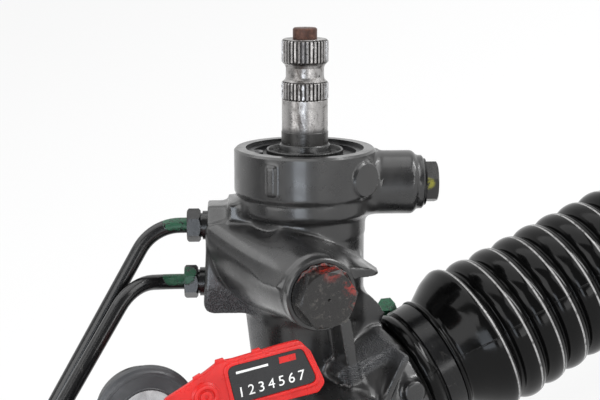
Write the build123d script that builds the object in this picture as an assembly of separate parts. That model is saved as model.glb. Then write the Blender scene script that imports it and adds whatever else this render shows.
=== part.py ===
from build123d import *
import math
import os

# Hydraulic rack-and-pinion steering gear with tie rods.  Millimetres.
# X runs along the rack, Z is up, and the pinion stands behind the rack (+Y), leaning in the XZ plane.
# Everything is modelled from the point where the pinion's axis passes the rack's axis, and is moved at the
# end so that the origin is the centre of the mounting eye beside the pinion.

# ---------------------------------------------------------------- clearances
FIT = 0.05           # radial running clearance of shafts and spools in their bores
SLIP = 0.10          # radial clearance of parts that are threaded or slipped into place
AIR = 0.30           # gap between curved faces that must never touch

# ---------------------------------------------------------------- rack and pinion
RACK_R = 13.0
LEAN = 24.0                  # lean of the pinion axis from vertical, towards +X
TEETH = 8
MODULE = 1.8
SHIFT = 0.5                  # profile shift, in modules
PRESSURE = 20.0
BACKLASH = 0.24
TIP_R = 9.5
ROOT_R = 5.9
RACK_TEETH = 31              # tooth spaces cut in the rack bar
PITCH_R = MODULE * TEETH / 2
PINION_Y = 16.5              # pinion axis behind rack axis
RACK_REF_Y = PINION_Y - PITCH_R - SHIFT * MODULE
RACK_TIP_Y = RACK_REF_Y + MODULE
RACK_ROOT_Y = RACK_REF_Y - 1.25 * MODULE
TRAVEL = 62.0                # rack travel each way from straight ahead
STOP_GAP = 0.5               # left between socket and housing at full travel

# ---------------------------------------------------------------- stations along the rack (X)
RIGHT_STOP = 58.0            # end face of the housing
HOUSING_LEFT = -122.0        # end face of the collar that takes the cylinder tube
CYL_NEAR = -104.0            # bottom of the tube socket in the housing
CYL_FAR = -322.0             # bottom of the tube socket in the cylinder end
END_COLLAR = -304.0          # inner face of the cylinder end
LEFT_STOP = -352.0           # end face of the cylinder end
PISTON_X = (CYL_NEAR + CYL_FAR) / 2
PISTON_LEN = 18.0

# ---------------------------------------------------------------- housing
RACK_BORE_R = 13.7
RACK_TUBE_R = 20.0
NECK_R = 22.5                # boot necks on both ends
NECK_LEN = 17.0
COLLAR_R = 28.0              # collars round the cylinder tube's ends
CYL_R = 22.5                 # cylinder tube
CYL_WALL = 2.5
BUSH_R = 16.5
BUSH_LEN = 14.0
BUSH_DEEP = 4.0              # end face to bush
SEAL_R = 19.0
SEAL_LEN = 8.0

# stations up the pinion axis (H) and radii about it
DRUM_R = 28.75
DRUM_TOP = 113.7
DRUM_LOW = 89.6
VALVE_NECK_R = 24.8
VALVE_NECK_LOW = 79.5
BODY_R = 24.4
BODY_LOW = 44.0
PINION_CASE_R = 22.5
PINION_CASE_TOP = 27.4
CASE_BOTTOM = -40.0
CASE_BOTTOM_R = 20.0
MOUTH_R = 24.0               # recess in the drum's top, down to the oil seal's face
SEAL_FACE = 110.6
OIL_SEAL_R = 22.5
OIL_SEAL_LEN = 7.0
RING_GROOVE_R = 25.0
RING_WIRE = 1.6
RING_INNER_R = 18.5
TOP_BEARING_R = 18.9
TOP_BEARING_LEN = 9.0
GALLERY_R = 20.6             # annular return gallery above the sleeve
VALVE_BORE_R = 18.25
VALVE_BORE_LOW = 30.0
PINION_SEAL_R = 12.5
PINION_SEAL_LOW = 16.5
PINION_SEAL_LEN = 7.0
GEAR_BORE_R = TIP_R + 0.6
GEAR_TOP = 14.0
GEAR_LOW = -12.0
LOW_BEARING_R = 11.5
LOW_BEARING_LEN = 11.0
GEAR_CHAMBER_CLEAR = 5.0
CAP_BORE_R = 15.5            # thread of the bottom cap

# ---------------------------------------------------------------- valve parts
SLEEVE_LOW = 44.5
SLEEVE_LEN = 41.5
SLEEVE_RINGS = 4
SPOOL_R = 10.75
HEAD_R = 16.0
SPIGOT_LEN = 5.5
DOG_THICK = 11.0
DOG_R = 7.6
DOG_LEN = 14.0
VALVE_TWIST = 4.0            # degrees each way until the dog meets its slot
SHAFT_R = 9.5                # journal in the oil seal
BEARING_SHAFT_R = 10.0
SHANK_R = 9.3
SPLINE_R = 9.525
SPLINES = 36
SPLINE_DEPTH = 0.62
GROOVE_R = 7.7
SHANK_LOW = 120.3
BAND2_LOW = 133.9
BAND2_TOP = 140.9
BAND1_LOW = 147.8
BAND1_TOP = 157.6
BAR_TOP = 162.0
BAR_HEAD_R = 4.9
BAR_HEAD_LEN = 24.0
BAR_WAIST_R = 2.6
BAR_FOOT_R = 3.4
BAR_FOOT_LEN = 24.0
BAR_FOOT_TOP = 32.0
CROSS_PIN_R = 1.6
CROSS_PIN_H = 152.4
CROSS_PIN_ANGLE = 47.0       # degrees from +X towards -Y, about the pinion axis
LOW_JOURNAL_R = 6.0
NUT_THREAD_R = 5.0
PINION_NUT_AF = 15.0
PINION_NUT_LEN = 6.0

# ---------------------------------------------------------------- hydraulic ports
PORT_TURN = 72.0             # the ports' line, from -Y towards the right
LINE_HEIGHTS = (81.6, 57.8)  # tube ports up the pinion axis
LINE_REACH = (39.6, 41.0)    # pinion axis to the seats of the two tube nuts
BLOCK_REACH = 41.7           # pinion axis to the lower edge of the port block's face
BLOCK_DRAFT = 2.6            # degrees that the face leans back towards the top
BLOCK_WIDE = 23.0
BLOCK_LOW = 47.0
BLOCK_TOP = 90.1
BLOCK_SLOPE = (8.0, 11.0)    # height and width that the near top corner loses
SPOT_R = 7.4                 # spot faces under the nuts
TUBE_R = 3.175
TUBE_WALL = 0.7
TUBE_NUT_AF = 12.0
TUBE_NUT_LEN = 8.6
TUBE_NUT_COLLAR_R = 5.9
TUBE_NUT_COLLAR = 2.2
TUBE_NUT_GROOVE = 0.8         # width of the groove between collar and hexagon
TUBE_NUT_R = 5.0             # thread
TUBE_NUT_THREAD = 10.0
PASSAGE_R = 2.4
RETURN_H = 99.0
RETURN_REACH = 48.2
RETURN_BOSS_R = 13.0
RETURN_COLLAR_R = 11.0
RETURN_COLLAR = 3.0
RETURN_PLUG_R = 7.5          # thread
RETURN_PLUG_AF = 15.4
RETURN_PLUG_HEX = 5.0
RETURN_PLUG_DEEP = 11.0
CYL_PORT_INSET = 11.5        # collar's end face to the port's axis
CYL_PORT_R = 9.0
CYL_PORT_TOP = 34.0          # rack axis to the port boss's face
CYL_PORT_NEAR_LEAN = 30.0    # degrees back from vertical
CYL_PORT_FAR_LEAN = 0.0

# ---------------------------------------------------------------- side boss
SIDE_W = -12.1               # across the pinion axis
SIDE_H = 65.7                # up the pinion axis
SIDE_R = 14.2
SIDE_REACH = 50.0            # pinion axis to the boss's face, towards -Y
SIDE_BORE_R = 10.2
SIDE_BORE_END = 20.0         # blind end, from the pinion axis
SIDE_PLUG_AF = 21.0
SIDE_PLUG_HEX = 7.3
SIDE_PLUG_FLANGE_R = 12.3
SIDE_PLUG_FLANGE = 1.6
SIDE_PLUG_THREAD = 11.0
SPOOL_LEN = 9.0
SPOOL_TRAVEL = 2.5
DAMPER_WIRE = 0.8

# ---------------------------------------------------------------- rack guide
GUIDE_R = 16.0
GUIDE_BOSS_R = 22.0
GUIDE_REACH = 44.0           # rack axis to the boss's face, towards -Y
YOKE_LEN = 20.0
GUIDE_WIRE = 1.3
GUIDE_CAP_DEEP = 8.0
GUIDE_CAP_HEX_AF = 24.0
GUIDE_CAP_OUT = 9.0
LOCK_NUT_AF = 38.0
LOCK_NUT_LEN = 5.5

# ---------------------------------------------------------------- mounting eyes
EYE_X = -62.0
EYE_Y = -9.0
EYE_Z = 49.0
END_EYE_X = -328.0
EYE_RING_R = 17.0
EYE_BORE_R = 13.0
EYE_WIDE = 10.0
BUSH_LIP_R = 20.4            # lip on the near side
BUSH_LIP = 4.0
BUSH_REAR_R = 15.6           # smaller lip on the far side
BUSH_REAR = 3.0
SLEEVE_FLANGE_R = 11.7
SLEEVE_TUBE_R = 9.0
BOLT_HOLE_R = 6.2
SLEEVE_STEP = 1.0            # steel sleeve stands out of the rubber

# ---------------------------------------------------------------- tie rods
SOCKET_R = 17.0
SOCKET_LEN = 31.0
BALL_BACK = 20.0             # socket's rear face to ball centre
BALL_R = 10.5
SEAT_WALL = 2.2
MOUTH_ANGLE = 58.0           # half angle of the socket's mouth
ROD_NECK_R = 5.5
ROD_R = 6.5
ROD_THREAD_R = 6.9
SWING = 18.0                 # degrees each way at the inner ball
OUTER_BALL = 388.0           # stop face to outer ball centre
STUD_SOCKET_STEM = 11.0
ROD_END_GRIP = 58.0          # outer ball centre back to the mouth of its threaded stem
JAM_NUT_AF = 22.0
JAM_NUT_LEN = 8.0
END_BODY_R = 17.0
END_BODY_TOP = 14.0
END_BODY_LOW = 9.0
STUD_BALL_R = 11.0
STUD_NECK_R = 5.5
STUD_TILT = 22.0
STUD_MOUTH_ANGLE = 57.0
TAPER_BIG_R = 7.4
TAPER_SMALL_R = 6.3
TAPER_TOP = -25.0
TAPER_LEN = 16.0
STUD_THREAD_R = 5.8
STUD_NUT_AF = 18.0
STUD_NUT_LEN = 9.0
STUD_LEN = 57.0

# ---------------------------------------------------------------- boots (U runs outboard from the stop face)
BOOT_WALL = 1.4
CUFF_START = -15.0
LIP_R = 26.2
LIP_LEN = 5.0
CLAMP_SEAT_R = 24.6
CLAMP_START = -8.2
CLAMP_WIDE = 7.2
CLAMP_THICK = 1.0
COLLAR_RING_R = 26.0
CONE_START = 2.6
CREST_FIRST = 17.3
CREST_PITCH = 11.5
CREST_R = 33.0
CREST_TAPER = 0.45           # crest radius lost per convolution along the even part
VALLEY_DEPTH = 4.6
EVEN_CRESTS = 11
NOSE_CRESTS = 5
NOSE_STEP = 2.9              # crest radius lost per convolution along the nose
NOSE_CUFF = 13.0
SMALL_CLAMP_THICK = 0.9
SMALL_CLAMP_WIDE = 6.0

# ---------------------------------------------------------------- seal tag
TAG_CENTRE = (-14.5, -41.0, 49.0)
TAG_LONG = 46.0
TAG_TALL = 22.0
TAG_THICK = 2.6
TAG_TILT = -15.0             # degrees, long side against X, seen from -Y
BUTTON_R = 5.2
STRAP_WIDE = 4.0
STRAP_THICK = 1.3

# ---------------------------------------------------------------- derived
LEAN_COS = math.cos(math.radians(LEAN))
LEAN_SIN = math.sin(math.radians(LEAN))
CYL_PORT_NEAR_X = HOUSING_LEFT - CYL_PORT_INSET
CYL_PORT_FAR_X = END_COLLAR + CYL_PORT_INSET
PORT_X = math.sin(math.radians(PORT_TURN))
PORT_Y = -math.cos(math.radians(PORT_TURN))
SLEEVE_TOP = SLEEVE_LOW + SLEEVE_LEN
OIL_SEAL_LOW = SEAL_FACE - OIL_SEAL_LEN
TOP_BEARING_LOW = OIL_SEAL_LOW - TOP_BEARING_LEN
LOW_BEARING_TOP = GEAR_LOW - GEAR_CHAMBER_CLEAR
SOCKET_BACK = TRAVEL + STOP_GAP
BALL_U = SOCKET_BACK + BALL_BACK
CREST_LAST = CREST_FIRST + CREST_PITCH * (EVEN_CRESTS - 1)
CUFF_U = CREST_LAST + CREST_PITCH * NOSE_CRESTS + CREST_PITCH / 2

PINION = Location(Plane(origin=(0, PINION_Y, 0), x_dir=(LEAN_COS, 0, -LEAN_SIN), z_dir=(LEAN_SIN, 0, LEAN_COS)))
RACK = Location(Plane(origin=(0, 0, 0), x_dir=(0, 1, 0), z_dir=(1, 0, 0)))
RIGHT = Location(Plane(origin=(RIGHT_STOP, 0, 0), x_dir=(0, 1, 0), z_dir=(1, 0, 0)))
LEFT = Location(Plane(origin=(LEFT_STOP, 0, 0), x_dir=(0, -1, 0), z_dir=(-1, 0, 0)))
TO_ORIGIN = Location((-EYE_X, -EYE_Y, -EYE_Z))


# ---------------------------------------------------------------- shared shapes
def lathe(points):
    """Solid turned about Z from (radius, height) corners."""
    return revolve(make_face(Polyline([(r, 0, h) for r, h in points], close=True)), Axis.Z)


def disc(r, low, high):
    """Cylinder about Z between two heights."""
    return Pos(0, 0, low) * Cylinder(r, high - low, align=(Align.CENTER, Align.CENTER, Align.MIN))


def ring(r_out, r_in, low, high):
    return disc(r_out, low, high) - disc(r_in, low - 1, high + 1)


def hexagon(across_flats, low, high, turn=0.0):
    sketch = RegularPolygon(across_flats / 2, 6, major_radius=False, rotation=turn)
    return Pos(0, 0, low) * extrude(sketch, high - low)


def chamfered_hexagon(across_flats, low, high, turn=0.0):
    """Hexagon whose far corners are turned down, as on a nut or a plug."""
    corner = across_flats / 2 / math.cos(math.radians(30))
    edge = (corner - across_flats / 2) * 0.6
    cone = lathe([(0, low), (corner, low), (corner, high - edge), (across_flats / 2, high), (0, high)])
    return hexagon(across_flats, low, high, turn) & cone


def facing(direction, origin, x_dir=None):
    """Location whose local Z points along a direction."""
    if x_dir is None:
        return Location(Plane(origin=origin, z_dir=direction))
    return Location(Plane(origin=origin, x_dir=x_dir, z_dir=direction))


def in_pinion(x, y, h):
    """Row point of a point given across and up the pinion axis."""
    return Vector(x * LEAN_COS + h * LEAN_SIN, PINION_Y + y, -x * LEAN_SIN + h * LEAN_COS)


def port_frame(height, reach, outward=1):
    """Frame on the ports' line at a height, local Z pointing away from the pinion axis."""
    direction = (outward * PORT_X, outward * PORT_Y, 0)
    origin = (direction[0] * reach, direction[1] * reach, height)
    return PINION * facing(direction, origin, (0, 0, 1))


def spring(radius, wire, turns, low, high):
    """Coil spring about Z between two heights, wire centre to wire centre."""
    pitch = (high - low) / turns
    path = Helix(pitch, high - low, radius)
    start = Plane(origin=path @ 0, z_dir=path % 0)
    return Pos(0, 0, low) * sweep(start * Circle(wire), path=path)


# ---------------------------------------------------------------- housing casting
SIDE = PINION * facing((0, -1, 0), (SIDE_W, 0, SIDE_H), (1, 0, 0))
GUIDE = facing((0, -1, 0), (0, 0, 0), (1, 0, 0))


def tower():
    """Drum, neck and pinion case, turned about the pinion axis."""
    step = 1.2
    return PINION * lathe([
        (0, CASE_BOTTOM), (CASE_BOTTOM_R, CASE_BOTTOM), (CASE_BOTTOM_R, GEAR_LOW - 12),
        (PINION_CASE_R, GEAR_LOW - 10), (PINION_CASE_R, PINION_CASE_TOP), (BODY_R, BODY_LOW),
        (BODY_R, VALVE_NECK_LOW - step), (VALVE_NECK_R, VALVE_NECK_LOW), (VALVE_NECK_R, DRUM_LOW - 3),
        (DRUM_R - step, DRUM_LOW - 0.6), (DRUM_R, DRUM_LOW + step), (DRUM_R, DRUM_TOP - step),
        (DRUM_R - step, DRUM_TOP), (0, DRUM_TOP)])


def rack_casing():
    """Tube round the rack with the collar for the cylinder, the flare and the boot neck."""
    flare = RACK_TUBE_R + 6.5
    return RACK * lathe([
        (0, HOUSING_LEFT), (COLLAR_R - 1, HOUSING_LEFT), (COLLAR_R, HOUSING_LEFT + 1),
        (COLLAR_R, CYL_NEAR + SEAL_LEN), (RACK_TUBE_R, CYL_NEAR + SEAL_LEN + 9), (RACK_TUBE_R, 8),
        (flare, 20), (flare, 37), (NECK_R + 2.5, RIGHT_STOP - NECK_LEN),
        (NECK_R, RIGHT_STOP - NECK_LEN), (NECK_R, RIGHT_STOP - 1), (NECK_R - 1, RIGHT_STOP), (0, RIGHT_STOP)])


def port_block():
    """Block that takes the two tube nuts, with its drafted face away from the pinion axis."""
    drop, inset = BLOCK_SLOPE
    half = BLOCK_WIDE / 2
    outline = Polyline([(BLOCK_LOW, -half), (BLOCK_TOP - drop, -half), (BLOCK_TOP, inset - half),
                        (BLOCK_TOP, half), (BLOCK_LOW, half)], close=True)
    sketch = make_face(outline)
    sketch = fillet(sketch.vertices(), 3.0)
    block = port_frame(0, 0, -1) * Pos(0, 0, 10) * extrude(sketch, BLOCK_REACH - 10)
    block -= port_frame(BLOCK_LOW, BLOCK_REACH, -1) * Rot(0, BLOCK_DRAFT, 0) * Box(
        150, 60, 20, align=(Align.CENTER, Align.CENTER, Align.MIN))
    ramp_sketch = Pos(BLOCK_TOP - 3, 0) * RectangleRounded(11, BLOCK_WIDE * 0.7, 2.0)
    ramp = port_frame(0, 0, -1) * Pos(0, 0, 10) * extrude(ramp_sketch, BLOCK_REACH - 19)
    return block + ramp


def side_boss():
    """Round boss towards -Y that widens into the port block behind it."""
    straight = disc(SIDE_R, 0, SIDE_REACH)
    root = Pos(-8.9, 1.8, -6) * Circle(SIDE_R + 4.5)
    flared = loft([root.face(), (Pos(0, 0, SIDE_REACH - 5) * Circle(SIDE_R)).face()])
    return SIDE * (straight + flared)


def beak():
    """Shelf beside the side boss, with a hollow web above it up to the drum's neck."""
    top = Spline((-4.0, 23.0), (5.0, 15.5), (14.0, 9.2), (SHELF_X - 5.5, SHELF_TOP + 0.9), (SHELF_X, SHELF_TOP))
    under = SHELF_TOP - SHELF_THICK
    tip = ThreePointArc(top @ 1, (SHELF_X + 1.2, SHELF_TOP - SHELF_THICK / 2), (SHELF_X, under))
    low = Polyline(tip @ 1, (12.0, under), (-4.0, 2.0), top @ 0)
    web = Pos(0, 0, 10) * extrude(make_face([top, tip, low]), SIDE_REACH - 18)
    plan = Polyline([(-6, 8), (SHELF_X + 2, 8), (SHELF_X + 2, 22), (SHELF_X - 1.2, SIDE_REACH - 9.5),
                     (SHELF_X - 3.5, SIDE_REACH - 7.5), (-6, SIDE_REACH - 7.5)], close=True)
    return SIDE * (web & (Rot(90, 0, 0) * Pos(0, 0, -30) * extrude(make_face(plan), 60)))


SHELF_X = 27.9
SHELF_TOP = 5.3
SHELF_THICK = 2.9


def strip(start, end, wide, near_y, far_y):
    """Rib along a line in the XZ plane, reaching from one Y to another."""
    dx = end[0] - start[0]
    dz = end[1] - start[1]
    run = math.hypot(dx, dz)
    sketch = Pos(run / 2, 0) * SlotOverall(run + wide, wide)
    frame = Location(Plane(origin=(start[0], far_y, start[1]), x_dir=(dx, 0, dz), z_dir=(0, -1, 0)))
    return frame * extrude(sketch, far_y - near_y)


def ribs():
    """Ribs and pads on the viewer's side of the casing, between the bosses and the boot neck."""
    upright_top = in_pinion(3.6, 0, 49)
    upright_low = in_pinion(9.5, 0, 15)
    upright = strip((upright_top.X, upright_top.Z), (upright_low.X, upright_low.Z), 4.6, -20.0, 6)
    apex = (RIGHT_STOP - NECK_LEN - 3, 20.5)
    ledge = strip(apex, (14, 22.5), 5.0, -17, 4)
    lower = strip(apex, (20, 6), 3.2, -27.5, -4)
    pad = Pos(36, 0, 5.5) * Rot(90, 0, 0) * Cylinder(4.4, 27.5, align=(Align.CENTER, Align.CENTER, Align.MIN))
    outline = Polyline([(17, -2), (42.2, -2), (42.2, 27.6), (45.6, 29.2), (44.6, 34), (42.4, 39.5),
                        (38, 44.5), (20, 45)], close=True)
    shoulder = Pos(0, 17, 0) * extrude(Rot(90, 0, 0) * make_face(outline), 17)
    return [upright, ledge, lower, pad, shoulder]


def drum_details():
    """Upright bar, plug boss and small lug on the outside of the drum and its neck."""
    bar = PINION * Rot(0, 0, -90 - 48) * Pos(DRUM_R - 0.6, 0, 100.4) * Box(3.0, 5.0, 11.4)
    boss = plug_frame() * disc(PLUG_BOSS_R, 20, PLUG_BOSS_REACH)
    lug = PINION * Rot(0, 0, -90 - 79) * Pos(DRUM_R - 3, 0, 91.5) * Box(8, 9, 6)
    return [bar, boss, lug]


PLUG_H = 103.4
PLUG_TURN = 24.0             # the plug's line, from -Y towards +X
PLUG_ASIDE = 5.2             # that line to the pinion axis
PLUG_R = 5.9
PLUG_BOSS_R = 7.0
PLUG_BOSS_REACH = 29.8
PLUG_DEEP = 4.0


def plug_frame():
    """Frame of the press-in plug on the drum, local Z pointing outwards beside the pinion axis."""
    turn = math.radians(PLUG_TURN)
    origin = (PLUG_ASIDE * math.cos(turn), PLUG_ASIDE * math.sin(turn), PLUG_H)
    return PINION * facing((math.sin(turn), -math.cos(turn), 0), origin, (0, 0, 1))


def eye_outside(x):
    """Ring of a mounting eye and the web that carries it on the rack casing."""
    ring_part = Pos(x, EYE_Y, EYE_Z) * Rot(90, 0, 0) * Cylinder(EYE_RING_R, EYE_WIDE)
    web_wide = EYE_WIDE - 2
    outline = Polyline([(x - EYE_RING_R, EYE_Z - 4), (x - EYE_RING_R - 4, 6), (x + EYE_RING_R + 4, 6),
                        (x + EYE_RING_R, EYE_Z - 4)], close=True)
    web = Pos(0, EYE_Y - web_wide / 2, 0) * extrude(Rot(90, 0, 0) * make_face(outline), -web_wide)
    return ring_part + web


def eye_bore(x):
    return Pos(x, EYE_Y, EYE_Z) * Rot(90, 0, 0) * Cylinder(EYE_BORE_R, EYE_WIDE * 2)


def valve_bores():
    """Everything bored along the pinion axis, from the drum's mouth to the bottom cap."""
    low_bearing_low = LOW_BEARING_TOP - LOW_BEARING_LEN
    return PINION * lathe([
        (0, DRUM_TOP + 5), (MOUTH_R, DRUM_TOP + 5), (MOUTH_R, SEAL_FACE + RING_WIRE),
        (RING_GROOVE_R, SEAL_FACE + RING_WIRE), (RING_GROOVE_R, SEAL_FACE), (OIL_SEAL_R, SEAL_FACE),
        (OIL_SEAL_R, OIL_SEAL_LOW), (TOP_BEARING_R, OIL_SEAL_LOW), (TOP_BEARING_R, TOP_BEARING_LOW),
        (GALLERY_R - 3.2, TOP_BEARING_LOW), (GALLERY_R, TOP_BEARING_LOW - 2), (GALLERY_R, SLEEVE_TOP + 1),
        (VALVE_BORE_R, SLEEVE_TOP - 0.5), (VALVE_BORE_R, VALVE_BORE_LOW),
        (PINION_SEAL_R, VALVE_BORE_LOW - 3), (PINION_SEAL_R, PINION_SEAL_LOW), (GEAR_BORE_R, PINION_SEAL_LOW),
        (GEAR_BORE_R, LOW_BEARING_TOP), (LOW_BEARING_R, LOW_BEARING_TOP), (LOW_BEARING_R, low_bearing_low),
        (CAP_BORE_R, low_bearing_low), (CAP_BORE_R, CASE_BOTTOM - 1), (0, CASE_BOTTOM - 1)])


def rack_bores():
    """Bore round the rack with its bush pocket, seal pocket and the socket for the cylinder tube."""
    return RACK * lathe([
        (0, RIGHT_STOP + 1), (BUSH_R, RIGHT_STOP + 1), (BUSH_R, RIGHT_STOP - BUSH_DEEP - BUSH_LEN),
        (RACK_BORE_R, RIGHT_STOP - BUSH_DEEP - BUSH_LEN), (RACK_BORE_R, CYL_NEAR + SEAL_LEN),
        (SEAL_R, CYL_NEAR + SEAL_LEN), (SEAL_R, CYL_NEAR), (CYL_R, CYL_NEAR), (CYL_R, HOUSING_LEFT - 1),
        (0, HOUSING_LEFT - 1)])


def side_bore():
    """Blind bore of the side boss with the seat for the plug's flange."""
    return SIDE * lathe([
        (0, SIDE_REACH + 1), (SIDE_PLUG_FLANGE_R + 0.3, SIDE_REACH + 1),
        (SIDE_PLUG_FLANGE_R + 0.3, SIDE_REACH - SIDE_PLUG_FLANGE + 0.4),
        (SIDE_BORE_R, SIDE_REACH - SIDE_PLUG_FLANGE + 0.4), (SIDE_BORE_R, SIDE_BORE_END), (0, SIDE_BORE_END)])


def guide_bore():
    return GUIDE * disc(GUIDE_R, 0, GUIDE_REACH + 1)


def port_holes():
    """Threaded holes of the two tubes and of the return port, with their passages to the valve bore."""
    holes = []
    for height, reach in zip(LINE_HEIGHTS, LINE_REACH):
        frame = port_frame(height, 0, -1)
        holes.append(frame * disc(TUBE_NUT_R + SLIP, reach - TUBE_NUT_THREAD - 2, reach + 1))
        holes.append(frame * disc(SPOT_R, reach, reach + 6))
        holes.append(frame * disc(PASSAGE_R, VALVE_BORE_R - 2, reach - 5))
    frame = port_frame(RETURN_H, 0)
    holes.append(frame * disc(RETURN_PLUG_R + SLIP, RETURN_REACH - RETURN_PLUG_DEEP - 2, RETURN_REACH + 1))
    start = Vector(-9.0, 0, GALLERY_R - 4)
    end = Vector(-2.5, 0, RETURN_REACH - RETURN_PLUG_DEEP - 1)
    run = end - start
    holes.append(frame * facing(run, start) * disc(PASSAGE_R, 0, run.length))
    return holes


def housing():
    """One casting: tower, rack casing, port block, bosses, ribs and the mounting eye."""
    body = tower() + rack_casing()
    body += GUIDE * disc(GUIDE_BOSS_R, 0, GUIDE_REACH)
    body += port_block()
    body += side_boss()
    body += beak()
    boss_edge = 1.5
    body += port_frame(RETURN_H, 0) * lathe([
        (0, 15), (RETURN_BOSS_R, 15), (RETURN_BOSS_R, RETURN_REACH - RETURN_COLLAR - boss_edge),
        (RETURN_BOSS_R - boss_edge, RETURN_REACH - RETURN_COLLAR),
        (RETURN_COLLAR_R, RETURN_REACH - RETURN_COLLAR), (RETURN_COLLAR_R, RETURN_REACH), (0, RETURN_REACH)])
    for piece in ribs() + drum_details():
        body += piece
    body += eye_outside(EYE_X)
    body -= valve_bores()
    body -= rack_bores()
    body -= side_bore()
    body -= guide_bore()
    body -= eye_bore(EYE_X)
    for hole in port_holes():
        body -= hole
    return body - plug_frame() * disc(PLUG_R, PLUG_BOSS_REACH - PLUG_DEEP, 40)


# ---------------------------------------------------------------- cylinder
def cylinder_port(x, lean):
    """Frame of a tube port on the cylinder, local Z away from the rack axis."""
    direction = (0, math.sin(math.radians(lean)), math.cos(math.radians(lean)))
    return facing(direction, (x, 0, 0), (1, 0, 0))


def cylinder_tube():
    tube = RACK * ring(CYL_R, CYL_R - CYL_WALL, CYL_FAR, CYL_NEAR)
    for x, lean in ((CYL_PORT_NEAR_X, CYL_PORT_NEAR_LEAN), (CYL_PORT_FAR_X, CYL_PORT_FAR_LEAN)):
        frame = cylinder_port(x, lean)
        tube += frame * disc(CYL_PORT_R, CYL_R - 2.2, CYL_PORT_TOP) - RACK * disc(CYL_R - CYL_WALL, x - 20, x + 20)
        tube -= frame * disc(TUBE_NUT_R + SLIP, CYL_PORT_TOP - TUBE_NUT_THREAD - 0.5, CYL_PORT_TOP + 1)
        tube -= frame * disc(PASSAGE_R, CYL_R - 8, CYL_PORT_TOP)
    return tube


def cylinder_end():
    """Casting on the cylinder's far end: tube socket, seal and bush pockets, boot neck, mounting eye."""
    end = RACK * lathe([
        (0, LEFT_STOP), (NECK_R - 1, LEFT_STOP), (NECK_R, LEFT_STOP + 1), (NECK_R, LEFT_STOP + NECK_LEN),
        (NECK_R + 2.5, LEFT_STOP + NECK_LEN), (COLLAR_R, LEFT_STOP + NECK_LEN + 4), (COLLAR_R, END_COLLAR - 1),
        (COLLAR_R - 1, END_COLLAR), (0, END_COLLAR)])
    end += eye_outside(END_EYE_X) - Pos(LEFT_STOP - 20 + NECK_LEN, 0, 0) * Box(40, 80, 60)
    end -= RACK * lathe([
        (0, END_COLLAR + 1), (CYL_R, END_COLLAR + 1), (CYL_R, CYL_FAR), (SEAL_R, CYL_FAR),
        (SEAL_R, CYL_FAR - SEAL_LEN), (RACK_BORE_R, CYL_FAR - SEAL_LEN),
        (RACK_BORE_R, LEFT_STOP + BUSH_DEEP + BUSH_LEN), (BUSH_R, LEFT_STOP + BUSH_DEEP + BUSH_LEN),
        (BUSH_R, LEFT_STOP - 1), (0, LEFT_STOP - 1)])
    return end - eye_bore(END_EYE_X)


def rack_bushes():
    right = RACK * ring(BUSH_R, RACK_R + FIT, RIGHT_STOP - BUSH_DEEP - BUSH_LEN, RIGHT_STOP - BUSH_DEEP)
    left = RACK * ring(BUSH_R, RACK_R + FIT, LEFT_STOP + BUSH_DEEP, LEFT_STOP + BUSH_DEEP + BUSH_LEN)
    return Compound([right.solid(), left.solid()])


def rack_seals():
    near = RACK * ring(SEAL_R, RACK_R + FIT, CYL_NEAR, CYL_NEAR + SEAL_LEN)
    far = RACK * ring(SEAL_R, RACK_R + FIT, CYL_FAR - SEAL_LEN, CYL_FAR)
    return Compound([near.solid(), far.solid()])


# ---------------------------------------------------------------- rack, piston and guide
def rack_bar():
    """Round bar with teeth cut parallel to the leaning pinion axis, and a bore in each end."""
    right_end = RIGHT_STOP + SOCKET_BACK
    left_end = LEFT_STOP - SOCKET_BACK
    bar = RACK * disc(RACK_R, left_end, right_end)
    pitch = math.pi * MODULE
    reach = (RACK_TEETH + 1) / 2 * pitch
    flat_low = Vector(-reach * LEAN_COS, RACK_TIP_Y, 0)
    cut_high = RACK_R + 2
    flat = Pos(0, (RACK_TIP_Y + cut_high) / 2, 0) * Box(-2 * flat_low.X, cut_high - RACK_TIP_Y, 4 * RACK_R)
    bar -= flat
    tan = math.tan(math.radians(PRESSURE))
    half = pitch / 4 + BACKLASH / 2
    low_half = half - (RACK_REF_Y - RACK_ROOT_Y) * tan
    high_half = half + (cut_high - RACK_REF_Y) * tan
    tall = 5 * RACK_R
    for index in range(RACK_TEETH):
        x = (index - (RACK_TEETH - 1) / 2) * pitch
        gap = Polyline([(x - low_half, RACK_ROOT_Y - PINION_Y), (x + low_half, RACK_ROOT_Y - PINION_Y),
                        (x + high_half, cut_high - PINION_Y), (x - high_half, cut_high - PINION_Y)], close=True)
        lift = -x * LEAN_SIN / LEAN_COS
        bar -= PINION * Pos(0, 0, -tall / 2 - lift) * extrude(make_face(gap), tall)
    for end, sign in ((right_end, -1), (left_end, 1)):
        low = min(end, end + sign * (SOCKET_STUD_LEN + 1))
        bar -= RACK * disc(SOCKET_STUD_R + SLIP, low - 0.001 * (sign < 0), low + SOCKET_STUD_LEN + 1)
    bar -= RACK * ring(RACK_R + 1, RACK_R - PISTON_KEY, PISTON_X - 2, PISTON_X + 2)
    return bar


SOCKET_STUD_R = 8.0
SOCKET_STUD_LEN = 16.0
PISTON_KEY = 1.0
PISTON_RING_DEEP = 2.6
PISTON_RING_WIDE = 3.0


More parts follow.
